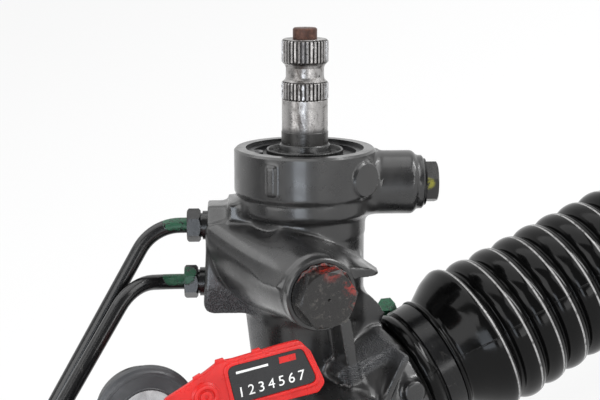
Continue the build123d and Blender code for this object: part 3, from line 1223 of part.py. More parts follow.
def clamp_screw_frame():
    """Frame of the clamp's screw, along the band's tangent through both ears."""
    return Rot(0, 0, EAR_TURN) * Pos(CLAMP_SEAT_R + 5.4, 0, CLAMP_START + CLAMP_WIDE / 2) * Rot(-90, 0, 0)


def clamp_screw():
    """Small screw with a hexagon flanged head on the upper ear."""
    screw = disc(CLAMP_SCREW_R, -4.6, 6.4) + disc(CLAMP_HEAD_AF * 0.62, 3.7, 4.9)
    return clamp_screw_frame() * (screw + hexagon(CLAMP_HEAD_AF, 4.9, 8.6))


def small_clamp():
    """Spring band on the boot's outer cuff."""
    outer = ROD_R + 2.2
    low = CUFF_U + (NOSE_CUFF - SMALL_CLAMP_WIDE) / 2
    band = ring(outer + SLIP + SMALL_CLAMP_THICK, outer + SLIP, low, low + SMALL_CLAMP_WIDE)
    ear = Pos(0, outer + 3.0, low) * Box(3.0, 4.2, SMALL_CLAMP_WIDE, align=(Align.CENTER, Align.CENTER, Align.MIN))
    return band + (ear - disc(outer + SLIP, low - 1, low + SMALL_CLAMP_WIDE + 1))


# ---------------------------------------------------------------- seal tag
STRAP_X = -36.8
STRAP_FRONT = -38.4


def seal_strap():
    """Flat plastic loop round the rack casing that carries the tag."""
    under = -RACK_TUBE_R - STRAP_THICK
    corners = [(STRAP_FRONT, 53), (STRAP_FRONT, -8), (-16, under), (19, under), (27, 8), (12, 38), (-22, 53)]
    outer = fillet(make_face(Polyline(corners, close=True)).vertices(), 8)
    band = outer - offset(outer, -STRAP_THICK)
    frame = Location(Plane(origin=(STRAP_X - STRAP_WIDE / 2, 0, 0), x_dir=(0, 1, 0), z_dir=(1, 0, 0)))
    return frame * extrude(band, STRAP_WIDE)


def seal_tag():
    """Tag plate with its round button, lying against the strap's front."""
    frame = facing((0, -1, 0), (TAG_CENTRE[0], STRAP_FRONT, TAG_CENTRE[2]), (1, 0, 0)) * Rot(0, 0, TAG_TILT)
    plate = extrude(RectangleRounded(TAG_LONG, TAG_TALL, 3.5), TAG_THICK)
    neck_sketch = make_face(Polyline([(-TAG_LONG / 2 + 6, TAG_TALL / 2 - 1), (-BUTTON_X - 1, 6.6), (-BUTTON_X - 7, 2.5),
                                      (-BUTTON_X - 7, -6), (-TAG_LONG / 2 + 6, -TAG_TALL / 2 + 1)], close=True))
    neck = extrude(neck_sketch, TAG_THICK)
    button = Pos(-BUTTON_X, 0, 0) * (disc(BUTTON_R, 0, TAG_THICK + 0.9) - disc(BUTTON_R - 1.1, TAG_THICK + 0.3, 9))
    return frame * (plate + neck + button)


BUTTON_X = 25.5


# ---------------------------------------------------------------- write every node
def both_sides(shape):
    """The same fastener on both ends of the gear, as two solids."""
    return Compound([(RIGHT * shape).solid(), (LEFT * shape).solid()])


def nodes():
    """Every node's name and shape."""
    tie = {"tie_rod": tie_rod(), "jam_nut": jam_nut(), "tie_rod_end": tie_rod_end(), "small_clamp": small_clamp(),
           "ball_stud": ball_stud(), "stud_nut": stud_nut(), "dust_cover": dust_cover(), "boot": boot()}
    made = {}
    for name, shape in tie.items():
        made["right_" + name] = RIGHT * shape
        made["left_" + name] = LEFT * shape
    for maker in (housing, cylinder_tube, cylinder_end, rack_bushes, rack_seals, rack_bar, piston, piston_ring,
                  rack_guide, guide_spring, guide_cap, guide_lock_nut, pinion, valve_sleeve, sleeve_rings,
                  pinion_nut, input_shaft, cross_pin, torsion_bar, oil_seal, dust_seal, retaining_ring,
                  upper_bearing, lower_bearing, pinion_seal, bottom_cap, press_in_plug, port_plug, port_washer,
                  side_bore_plug, side_plug_o_ring, damper_spool, damper_spring, tube_nuts, near_tube, far_tube,
                  mount_bushes, mount_sleeves, seal_strap, seal_tag):
        made[maker.__name__] = maker()
    made["ball_sockets"] = both_sides(ball_socket())
    made["ball_seats"] = both_sides(ball_seat())
    made["big_clamps"] = both_sides(big_clamp())
    made["clamp_screws"] = both_sides(clamp_screw())
    return made


os.makedirs("parts", exist_ok=True)
for node_name, node_shape in nodes().items():
    export_step(node_shape.moved(TO_ORIGIN), f"parts/{node_name}.step")
    print(f"{node_name}: {len(node_shape.solids())} solid(s), {node_shape.volume:.0f} mm3")
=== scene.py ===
import math

import bmesh
import bpy
import numpy as np
from mathutils import Matrix, Vector

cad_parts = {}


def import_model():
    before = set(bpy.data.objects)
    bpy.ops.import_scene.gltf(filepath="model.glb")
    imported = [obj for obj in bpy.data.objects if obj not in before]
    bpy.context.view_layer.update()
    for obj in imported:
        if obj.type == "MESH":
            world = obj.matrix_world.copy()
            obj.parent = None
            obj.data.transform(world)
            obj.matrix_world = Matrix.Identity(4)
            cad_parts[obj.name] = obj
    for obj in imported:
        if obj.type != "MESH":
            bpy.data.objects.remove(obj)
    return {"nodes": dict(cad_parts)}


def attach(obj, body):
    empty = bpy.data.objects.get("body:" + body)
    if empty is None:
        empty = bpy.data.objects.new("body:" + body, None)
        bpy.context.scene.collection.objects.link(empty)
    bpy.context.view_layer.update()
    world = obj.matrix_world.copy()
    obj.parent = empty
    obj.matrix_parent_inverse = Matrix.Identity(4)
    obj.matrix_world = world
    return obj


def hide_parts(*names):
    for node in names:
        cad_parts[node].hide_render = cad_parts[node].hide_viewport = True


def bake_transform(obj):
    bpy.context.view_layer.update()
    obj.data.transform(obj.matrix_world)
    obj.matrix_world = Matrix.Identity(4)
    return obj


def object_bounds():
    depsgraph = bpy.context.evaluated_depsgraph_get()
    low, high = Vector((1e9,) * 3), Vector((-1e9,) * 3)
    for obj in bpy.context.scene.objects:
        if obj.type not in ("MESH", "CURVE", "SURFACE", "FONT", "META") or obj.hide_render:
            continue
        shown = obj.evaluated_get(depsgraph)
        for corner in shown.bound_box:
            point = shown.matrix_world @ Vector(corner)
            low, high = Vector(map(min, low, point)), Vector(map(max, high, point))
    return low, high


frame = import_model()
cad_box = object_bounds()
NODES = frame["nodes"]

# ---------------------------------------------------------------- the gear's own dimensions, millimetres
# Shapes are made from the point where the pinion's axis passes the rack's axis, as in the CAD, and are
# carried into the row frame by TO_ROW.
LEAN = math.radians(24.0)
COS = math.cos(LEAN)
SIN = math.sin(LEAN)
PINION_Y = 16.5
RIGHT_STOP = 58.0            # faces that the boots sit against
LEFT_STOP = -352.0
EYE_X = -62.0                # mounting eye beside the pinion
END_EYE_X = -328.0           # mounting eye on the cylinder's end
EYE_Z = 49.0
EYE_NEAR = -14.0             # faces of the mounting eyes' rings
EYE_FAR = -4.0
EYE_R = 17.0
EYE_BORE_R = 13.0
ORIGIN = Vector((EYE_X, (EYE_NEAR + EYE_FAR) / 2, EYE_Z))
TO_ROW = Matrix.Scale(0.001, 4) @ Matrix.Translation(-ORIGIN)
DRUM_R = 28.75
DRUM_TOP = 113.7
SEAL_FACE = 110.6
SIDE_W = -12.1               # side bore's axis, across and up the pinion axis
SIDE_H = 65.7
SIDE_REACH = 50.0
SIDE_R = 14.2
BLOCK_REACH = 41.7
BLOCK_LOW = 47.0
BLOCK_TOP = 90.1
BLOCK_DRAFT = math.tan(math.radians(2.6))
LINE_PORT_HEIGHTS = (81.6, 57.8)
LINE_REACH = (39.6, 41.0)
RETURN_H = 99.0
RETURN_REACH = 48.2
GUIDE_REACH = 44.0
PORT_TURN = math.radians(72)
PORT_X = math.sin(PORT_TURN)
PORT_Y = -math.cos(PORT_TURN)
STUD_U = 388.0               # outer ball's centre, along the rack axis from the boot's stop
STOCK = 3.0                  # casting skin that machining takes off


def basis(origin, x, z):
    """Matrix of a frame from its origin, its X direction and its Z direction."""
    z = Vector(z).normalized()
    x = Vector(x)
    x = (x - z * x.dot(z)).normalized()
    y = z.cross(x)
    m = Matrix((x, y, z)).transposed().to_4x4()
    m.translation = Vector(origin)
    return m


PINION = basis((0, PINION_Y, 0), (COS, 0, -SIN), (SIN, 0, COS))
RACK = basis((0, 0, 0), (0, 1, 0), (1, 0, 0))
RIGHT = basis((RIGHT_STOP, 0, 0), (0, 1, 0), (1, 0, 0))
LEFT = basis((LEFT_STOP, 0, 0), (0, -1, 0), (-1, 0, 0))
SIDE = PINION @ basis((SIDE_W, 0, SIDE_H), (1, 0, 0), (0, -1, 0))
GUIDE = basis((0, 0, 0), (1, 0, 0), (0, -1, 0))
PLUG_H = 103.4
PLUG_ASIDE = 5.2
PLUG_TURN = math.radians(24)
PLUG_SIN = math.sin(PLUG_TURN)
PLUG_COS = math.cos(PLUG_TURN)
PLUG = PINION @ basis((PLUG_ASIDE * PLUG_COS, PLUG_ASIDE * PLUG_SIN, PLUG_H), (0, 0, 1),
                      (PLUG_SIN, -PLUG_COS, 0))
AT_STUD = basis((0, 0, STUD_U), (1, 0, 0), (0, 1, 0))
STUDS = {"right": RIGHT @ AT_STUD, "left": LEFT @ AT_STUD}
OUTWARD = (PORT_X, PORT_Y, 0)
INWARD = (-PORT_X, -PORT_Y, 0)
RETURN = PINION @ basis((0, 0, RETURN_H), (0, 0, 1), OUTWARD)
LINE_PORTS = [PINION @ basis((0, 0, h), (0, 0, 1), INWARD) for h in LINE_PORT_HEIGHTS]


def row(point, place=Matrix.Identity(4)):
    """Row-frame point, in metres, of a point in the gear's own millimetres or in a place on the gear."""
    return TO_ROW @ place @ Vector(point)


# ---------------------------------------------------------------- mesh helpers
def linked(name, data):
    """A new object of that data, in the scene."""
    ob = bpy.data.objects.new(name, data)
    bpy.context.scene.collection.objects.link(ob)
    return ob


def new_object(name, verts, faces, smooth=True):
    me = bpy.data.meshes.new(name)
    me.from_pydata([tuple(v) for v in verts], [], [tuple(f) for f in faces])
    me.validate()
    ob = linked(name, me)
    if smooth:
        me.polygons.foreach_set("use_smooth", [True] * len(me.polygons))
    return ob


def outward(ob):
    """Merges doubled points and turns the faces outward."""
    bm = bmesh.new()
    bm.from_mesh(ob.data)
    bmesh.ops.remove_doubles(bm, verts=bm.verts, dist=1e-7)
    bmesh.ops.recalc_face_normals(bm, faces=bm.faces)
    bm.to_mesh(ob.data)
    bm.free()
    ob.data.update()


def crease(ob, degrees=32):
    """Smooth shading that keeps edges sharper than an angle."""
    me = ob.data
    me.polygons.foreach_set("use_smooth", [True] * len(me.polygons))
    me.set_sharp_from_angle(angle=math.radians(degrees))


NEARLY_STRAIGHT = math.pi - 0.02


def rounded(points, radius, steps=4):
    """The same closed outline with its corners rounded; radius is a number or one number per corner."""
    count = len(points)
    made = []
    for i in range(count):
        r = radius if isinstance(radius, (int, float)) else radius[i]
        p = Vector(points[i])
        a = Vector(points[i - 1]) - p
        b = Vector(points[(i + 1) % count]) - p
        la = a.length
        lb = b.length
        angle = a.angle(b)
        if r <= 0 or angle > NEARLY_STRAIGHT:
            made.append(tuple(p))
            continue
        cut = min(r / math.tan(angle / 2), la * 0.48, lb * 0.48)
        start = p + a * (cut / la)
        end = p + b * (cut / lb)
        for k in range(steps + 1):
            t = k / steps
            made.append(tuple(start * (1 - t) ** 2 + p * (2 * t * (1 - t)) + end * t * t))
    return made


def ring_quads(first, second, count):
    """Quads between two closed rings of points that start at those indices."""
    return [(first + k, first + (k + 1) % count, second + (k + 1) % count, second + k) for k in range(count)]


def lathe(name, profile, place, turns=96):
    """Closed shape turned about local Z from (radius, height) corners, in the row frame."""
    matrix = TO_ROW @ place
    count = len(profile)
    angles = [2 * math.pi * k / turns for k in range(turns)]
    verts = []
    rings = []
    for r, h in profile:
        if r < 1e-6:
            rings.append([len(verts)])
            verts.append(matrix @ Vector((0, 0, h)))
        else:
            rings.append(list(range(len(verts), len(verts) + turns)))
            verts += [matrix @ Vector((r * math.cos(a), r * math.sin(a), h)) for a in angles]
    faces = []
    for i in range(count):
        a = rings[i]
        b = rings[(i + 1) % count]
        if len(a) == 1 and len(b) == 1:
            continue
        for k in range(turns):
            m = (k + 1) % turns
            if len(a) == 1:
                faces.append((a[0], b[k], b[m]))
            elif len(b) == 1:
                faces.append((a[k], b[0], a[m]))
            else:
                faces.append((a[k], b[k], b[m], a[m]))
    ob = new_object(name, verts, faces)
    outward(ob)
    return ob


def prism(name, outline, low, high, place):
    """Outline of (x, y) corners pushed along local Z, in the row frame."""
    matrix = TO_ROW @ place
    count = len(outline)
    verts = [matrix @ Vector((x, y, low)) for x, y in outline]
    verts += [matrix @ Vector((x, y, high)) for x, y in outline]
    faces = [tuple(range(count)), tuple(range(count, 2 * count))]
    faces += ring_quads(0, count, count)
    ob = new_object(name, verts, faces, smooth=False)
    outward(ob)
    return ob


def evaluated(ob):
    """A new mesh of the object as its modifiers make it."""
    depsgraph = bpy.context.evaluated_depsgraph_get()
    return bpy.data.meshes.new_from_object(ob.evaluated_get(depsgraph))


FEWEST_POINTS = 100          # a cut that leaves fewer points than this has failed


def cut(ob, tools):
    """Takes each tool's solid out of the object, one after another, and removes the tools."""
    for tool in tools:
        for solver in ("MANIFOLD", "EXACT"):
            before = len(ob.data.vertices)
            mod = ob.modifiers.new("cut", "BOOLEAN")
            mod.operation = "DIFFERENCE"
            mod.solver = solver
            mod.object = tool
            bpy.context.view_layer.update()
            made = evaluated(ob)
            ob.modifiers.clear()
            if len(made.vertices) > FEWEST_POINTS and len(made.vertices) != before:
                ob.data = made
                break
            print("cut with", tool.name, "by", solver, "changed nothing")
    for tool in tools:
        bpy.data.objects.remove(tool)
    return ob


# ---------------------------------------------------------------- castings from smoothly joined forms
def box2(dx, dy):
    """Distance to a shape from its distances along two crossing directions."""
    return np.minimum(np.maximum(dx, dy), 0) + np.hypot(np.maximum(dx, 0), np.maximum(dy, 0))


def polygon(x, y, corners):
    """Signed distance from points to a closed outline."""
    x, y = np.broadcast_arrays(x, y)
    best = np.full(x.shape, 1e9, np.float32)
    inside = np.zeros(x.shape, bool)
    for i in range(len(corners)):
        x0, y0 = corners[i]
        x1, y1 = corners[(i + 1) % len(corners)]
        ex = x1 - x0
        ey = y1 - y0
        wx = x - x0
        wy = y - y0
        t = np.clip((wx * ex + wy * ey) / (ex * ex + ey * ey + 1e-9), 0, 1)
        best = np.minimum(best, (wx - ex * t) ** 2 + (wy - ey * t) ** 2)
        if y0 != y1:
            crosses = ((y0 > y) != (y1 > y)) & (x < ex * (y - y0) / ey + x0)
            inside ^= crosses
    return np.where(inside, -1, 1) * np.sqrt(best)


def capsule(x, y, start, end, wide):
    """Signed distance to a rounded bar between two points."""
    ex = end[0] - start[0]
    ey = end[1] - start[1]
    t = np.clip(((x - start[0]) * ex + (y - start[1]) * ey) / (ex * ex + ey * ey), 0, 1)
    return np.hypot(x - start[0] - ex * t, y - start[1] - ey * t) - wide / 2


def smooth_step(v, low, high):
    """0 at low and 1 at high, with a smooth rise between."""
    t = np.clip((v - low) / (high - low), 0, 1)
    return t * t * (3 - 2 * t)


def smooth_min(a, b, fillet):
    """The lesser of two distances, with a fillet of about that size where they cross."""
    h = np.clip(0.5 + 0.5 * (a - b) / fillet, 0, 1)
    return a * (1 - h) + b * h - fillet * h * (1 - h)


class Casting:
    """Grid of distances to a growing solid, turned into a mesh at the end."""

    def __init__(self, low, high, step):
        self.step = step
        self.low = np.array(low, float)
        counts = [int(math.ceil((high[i] - low[i]) / step)) + 1 for i in range(3)]
        self.axes = [self.low[i] + step * np.arange(counts[i]) for i in range(3)]
        self.d = np.full(counts, 30.0, np.float32)

    def part(self, low, high):
        chosen = []
        for i in range(3):
            a = max(0, int((low[i] - self.low[i]) / self.step))
            b = min(len(self.axes[i]), int((high[i] - self.low[i]) / self.step) + 2)
            chosen.append(slice(a, b))
        x = self.axes[0][chosen[0]][:, None, None].astype(np.float32)
        y = self.axes[1][chosen[1]][None, :, None].astype(np.float32)
        z = self.axes[2][chosen[2]][None, None, :].astype(np.float32)
        return tuple(chosen), x, y, z

    def join(self, low, high, shape, fillet):
        """Adds a form, with a fillet of about that size where it meets what is there."""
        chosen, x, y, z = self.part(low, high)
        self.d[chosen] = smooth_min(self.d[chosen], shape(x, y, z), fillet)

    def carve(self, low, high, shape, fillet):
        """Takes a form away, with rounded edges of about that size."""
        chosen, x, y, z = self.part(low, high)
        self.d[chosen] = -smooth_min(-self.d[chosen], shape(x, y, z), fillet)

    def mesh(self, name, smoothing):
        verts, faces = surface(self.d)
        for _ in range(smoothing):
            verts = relaxed(verts, faces)
        verts = verts * self.step + self.low
        matrix = np.array(TO_ROW)
        verts = verts @ matrix[:3, :3].T + matrix[:3, 3]
        me = bpy.data.meshes.new(name)
        me.vertices.add(len(verts))
        me.vertices.foreach_set("co", verts.astype(np.float32).ravel())
        me.loops.add(faces.size)
        me.loops.foreach_set("vertex_index", faces.ravel().astype(np.int32))
        me.polygons.add(len(faces))
        me.polygons.foreach_set("loop_start", np.arange(0, faces.size, 4, dtype=np.int32))
        me.polygons.foreach_set("loop_total", np.full(len(faces), 4, np.int32))
        me.update(calc_edges=True)
        return linked(name, me)


def surface(d):
    """Surface net of the zero level of a grid of distances: points in grid steps, and quads."""
    inside = d < 0
    corners = [(i, j, k) for i in (0, 1) for j in (0, 1) for k in (0, 1)]
    nx, ny, nz = (n - 1 for n in d.shape)
    total = np.zeros((nx, ny, nz), np.int8)
    for i, j, k in corners:
        total += inside[i:i + nx, j:j + ny, k:k + nz]
    active = (total > 0) & (total < 8)
    cells = np.argwhere(active)
    index = np.full(active.shape, -1, np.int32)
    index[active] = np.arange(len(cells), dtype=np.int32)
    spot = np.zeros((len(cells), 3))
    hits = np.zeros(len(cells))
    for a in corners:
        for axis in range(3):
            if a[axis]:
                continue
            b = list(a)
            b[axis] = 1
            da = d[cells[:, 0] + a[0], cells[:, 1] + a[1], cells[:, 2] + a[2]]
            db = d[cells[:, 0] + b[0], cells[:, 1] + b[1], cells[:, 2] + b[2]]
            cross = (da < 0) != (db < 0)
            t = np.where(cross, da / np.where(cross, da - db, 1), 0)
            p = np.tile(np.array(a, float), (len(cells), 1))
            p[:, axis] += t
            spot[cross] += p[cross]
            hits[cross] += 1
    verts = cells + spot / hits[:, None]
    quads = []
    for axis in range(3):
        u = (axis + 1) % 3
        v = (axis + 2) % 3
        low = [slice(None)] * 3
        high = [slice(None)] * 3
        low[axis] = slice(0, -1)
        high[axis] = slice(1, None)
        a = inside[tuple(low)]
        b = inside[tuple(high)]
        for rising in (True, False):
            edges = np.argwhere(a & ~b if rising else b & ~a)
            edges = edges[(edges[:, u] > 0) & (edges[:, v] > 0)]
            edges = edges[(edges[:, u] < d.shape[u] - 1) & (edges[:, v] < d.shape[v] - 1)]
            around = []
            for du, dv in ((1, 1), (0, 1), (0, 0), (1, 0)):
                cell = edges.copy()
                cell[:, u] -= du
                cell[:, v] -= dv
                around.append(index[cell[:, 0], cell[:, 1], cell[:, 2]])
            quad = np.stack(around if rising else around[::-1], axis=1)
            quads.append(quad)
    return verts, np.concatenate(quads)


def relaxed(verts, faces):
    """Each point moved half way to the mean of its neighbours."""
    total = np.zeros_like(verts)
    count = np.zeros(len(verts))
    for i in range(4):
        a = faces[:, i]
        for b in (faces[:, (i + 1) % 4], faces[:, (i + 3) % 4]):
            for axis in range(3):
                total[:, axis] += np.bincount(a, verts[b][:, axis], len(verts))
            count += np.bincount(a, minlength=len(verts))
    return verts * 0.5 + total / count[:, None] * 0.5


def in_pinion(x, y, h):
    """Gear point of a point given across and up the pinion axis."""
    return (x * COS + h * SIN, PINION_Y + y, -x * SIN + h * COS)


def along_pinion(x, z):
    """Across and up the pinion axis, from the gear's X and Z."""
    return x * COS - z * SIN, x * SIN + z * COS


def tower_form(x, y, z):
    w, h = along_pinion(x, z)
    r = np.hypot(w, y - PINION_Y)
    return polygon(r, h, [
        (-60, -40 - STOCK), (20, -40 - STOCK), (20, -24), (22.5, -22), (22.5, 27.4), (24.4, 44), (24.4, 78.3),
        (24.8, 79.5), (24.8, 86.4), (27.0, 88.0), (27.7, 89.2), (27.7, 93.4), (27.5, 94.4), (DRUM_R, 96.2),
        (DRUM_R, DRUM_TOP + STOCK), (-60, DRUM_TOP + STOCK)])


def casing_form(x, y, z):
    r = np.hypot(y, z)
    return polygon(r, x, [
        (-60, -122 - STOCK), (28, -122 - STOCK), (28, -96), (20, -87), (20, 8), (26.5, 20), (26.5, 37),
        (25, 41), (22.5, 41.2), (22.5, RIGHT_STOP + STOCK), (-60, RIGHT_STOP + STOCK)])


def guide_form(x, y, z):
    return box2(np.hypot(x, z) - 22, np.abs(y + GUIDE_REACH - 19) - (19 + STOCK))


def in_ports(x, y, z):
    """Distances along the ports' line away from the return side, across it towards the viewer, and up."""
    w, h = along_pinion(x, z)
    dy = y - PINION_Y
    return -(w * PORT_X + dy * PORT_Y), w * PORT_Y - dy * PORT_X, h


def block_form(x, y, z):
    a, b, h = in_ports(x, y, z)
    edge = 0.9
    half = 11.5 - edge
    low = BLOCK_LOW + edge
    top = BLOCK_TOP - edge
    reach = BLOCK_REACH - edge
    section = [(BLOCK_LOW, half), (82.1, half), (top, 1.0), (top, -half), (BLOCK_LOW, -half)]
    side = [(10, low), (reach - 3.2, low), (reach - 1.5, low + 0.5), (reach - 0.5, low + 1.5),
            (reach - 0.1, low + 3.2), (reach - (BLOCK_TOP - BLOCK_LOW) * BLOCK_DRAFT, top), (10, top)]
    return box2(polygon(h, b, section), polygon(a, h, side)) - edge


def ramp_form(x, y, z):
    a, b, h = in_ports(x, y, z)
    side = box2(np.abs(b) - 9.0, np.abs(h - 87.1) - 4.0) - 1.5
    return box2(side, np.abs(a - 20.7) - 10.4)


def in_side(x, y, z):
    """Distances from the side bore's axis across and up the pinion axis, and towards the viewer."""
    w, h = along_pinion(x, z)
    return w - SIDE_W, h - SIDE_H, PINION_Y - y


def boss_form(x, y, z):
    u, v, s = in_side(x, y, z)
    half = (SIDE_REACH + STOCK) / 2
    return box2(np.hypot(u, v) - SIDE_R, np.abs(s - half) - half)


def flare_form(x, y, z):
    """Funnel from the port block to the side boss."""
    u, v, s = in_side(x, y, z)
    t = np.clip(s / 47, 0, 1)
    oval = (np.hypot((u + 3) / 27, (v - 19) / 37.5) - 1) * 27
    root = -smooth_min(-oval, 19.2 - v, 6.0)
    shape = root * (1 - t) + (np.hypot(u, v) - SIDE_R) * t
    return box2(shape * 0.95, np.abs(s - 21.5) - 23.5)


# the shelf's top at the tower and at its lip, as (u, v), and its plan, as (u, s), from the side bore's axis
SHELF_BACK = [(-18, 6), (-14, 10.4), (-11, 13.8), (-8, 17.0), (-6, 18.8), (-4.5, 19.3), (-2, 18.6), (4, 16.6),
              (11, 14.4), (16, 13.4), (17.6, 12.7), (19.5, 11.3), (23.2, 8.2), (27.5, 5.9), (31, 5.2)]
SHELF_FRONT = [(-18, 1), (-14, 5), (-10.5, 9.4), (-7, 12.6), (-3, 14.2), (0, 14.5), (4, 13.2), (8, 10.6),
               (11, 8.5), (13, 7.6), (19, 7.1), (23.5, 6.2), (26.2, 4.8), (31, 4.2)]
SHELF_PLAN = [(-18, 2), (28.9, 2), (28.9, 30), (28.6, 36.0), (27.6, 39.8), (25.6, 42.0), (22.6, 42.8),
              (-18, 43.5)]


def shelf_form(x, y, z):
    """Shelf beside the side boss, whose top falls from the tower to its lip."""
    u, v, s = in_side(x, y, z)
    back = np.interp(u, *zip(*SHELF_BACK))
    front = np.interp(u, *zip(*SHELF_FRONT))
    t = np.clip((s - 19) / 24, 0, 1)
    top = back + (front - back) * t ** 0.75
    under = 2.5 + 0.6 * t
    return box2(np.maximum((v - top) * 0.85, under - v), polygon(u, s, SHELF_PLAN))


def shoulder_form(x, y, z):
    outline = [(17, -2), (41.6, -2), (42.0, 26.8), (45.0, 28.9), (44.4, 34), (42.3, 39.5), (38, 44.3), (20, 45)]
    return box2(polygon(x, z, outline), np.abs(y - 8.5) - 8.5)


def return_form(x, y, z):
    a, b, h = in_ports(x, y, z)
    end = RETURN_REACH + STOCK
    return polygon(np.hypot(b, h - RETURN_H), -a, [
        (-40, 10), (13, 10), (13, 43.5), (11.8, 45.0), (11.0, 45.3), (11.0, end), (-40, end)])


def plug_boss_form(x, y, z):
    w, h = along_pinion(x, z)
    dy = y - PINION_Y
    a = w * PLUG_SIN - dy * PLUG_COS
    b = w * PLUG_COS + dy * PLUG_SIN - PLUG_ASIDE
    return box2(np.hypot(b, h - PLUG_H) - 7.0, np.abs(a - 25.4) - (4.4 + 2.0))


BAR_TURN = math.radians(-90 - 48)
BAR_H = 104.4
BAR_SIZE = (3.6, 4.2, 11.8)
BAR_EDGE = 0.6


def bar_form(x, y, z):
    """Rounded upright bar on the drum."""
    w, h = along_pinion(x, z)
    dy = y - PINION_Y
    a = w * math.cos(BAR_TURN) + dy * math.sin(BAR_TURN)
    b = -w * math.sin(BAR_TURN) + dy * math.cos(BAR_TURN)
    deep, wide, tall = (size / 2 - BAR_EDGE for size in BAR_SIZE)
    flat = box2(np.abs(a - DRUM_R + 0.5) - deep, np.abs(b) - wide)
    return box2(flat, np.abs(h - BAR_H) - tall) - BAR_EDGE


def bar_between(start, end, wide, near_y, far_y):
    """Form of a rib along a line in the XZ plane, reaching from one Y to another."""
    def form(x, y, z):
        return box2(capsule(x, z, start, end, wide), np.abs(y - (near_y + far_y) / 2) - (far_y - near_y) / 2)
    return form


def eye_form(centre):
    """Form of a mounting eye's ring, at an X, with stock on its faces."""
    def form(x, y, z):
        depth = np.abs(y - ORIGIN.y) - (EYE_FAR - EYE_NEAR + STOCK) / 2
        return box2(np.hypot(x - centre, z - EYE_Z) - EYE_R, depth)
    return form


def eye_web_form(centre):
    """Form of the web between an eye and the rack casing."""
    def form(x, y, z):
        outline = [(centre - 17, 45), (centre - 21, 6), (centre + 21, 6), (centre + 17, 45)]
        return box2(polygon(x, z, outline), np.abs(y - ORIGIN.y) - 4)
    return form


def pad_form(x, y, z):
    """Round pad where the ribs end at the boot's neck."""
    return box2(np.hypot(x - 36, z - 5.5) - 4.4, np.abs(y + 13.7) - 13.8)


HOUSING_GRID = 0.66
END_GRID = 0.7
SMOOTHING = 2


def housing_blank():
    """The housing's casting before machining, with stock on its machined faces."""
    casting = Casting((-128, -50, -50), (88, 49, 121), HOUSING_GRID)
    top = in_pinion(3.6, 0, 49)
    low = in_pinion(9.5, 0, 15)
    apex = (38.0, 20.5)
    upright = bar_between((top[0], top[2]), (low[0], low[2]), 4.6, -20.0, 6)
    casting.join((-128, -32, -32), (64, 32, 32), casing_form, 1.0)
    casting.join((-45, -20, -50), (88, 49, 121), tower_form, 4.0)
    casting.join((-28, -50, -28), (28, 6, 28), guide_form, 5.0)
    casting.join((-70, -2, 20), (50, 49, 112), block_form, 4.0)
    casting.join((-40, -2, 60), (50, 49, 110), ramp_form, 3.5)
    casting.join((-34, -36, 20), (55, 32, 108), flare_form, 1.6)
    casting.join((-12, -40, 38), (48, 22, 95), boss_form, 1.2)
    casting.join((-20, -32, 36), (68, 18, 110), shelf_form, 3.0)
    casting.join((30, -14, 62), (88, 30, 116), return_form, 3.5)
    casting.join((38, -22, 70), (76, 10, 112), plug_boss_form, 1.6)
    casting.join((0, -24, 75), (50, 16, 118), bar_form, 0.7)
    casting.join((0, -24, -2), (40, 14, 58), upright, 2.5)
    casting.join((2, -26, 8), (50, 14, 38), bar_between(apex, (14, 22.5), 5.0, -17, 4), 3.0)
    casting.join((8, -36, -6), (50, 6, 34), bar_between(apex, (20, 6), 3.2, -27.5, -4), 3.0)
    casting.join((26, -36, -5), (46, 6, 16), pad_form, 2.5)
    casting.join((8, -8, -10), (54, 26, 54), shoulder_form, 3.0)
    casting.join((-92, -22, -4), (-32, 4, 80), eye_web_form(EYE_X), 6.0)
    casting.join((-90, -22, 20), (-34, 4, 80), eye_form(EYE_X), 3.0)
    return casting.mesh("housing_cast", SMOOTHING)


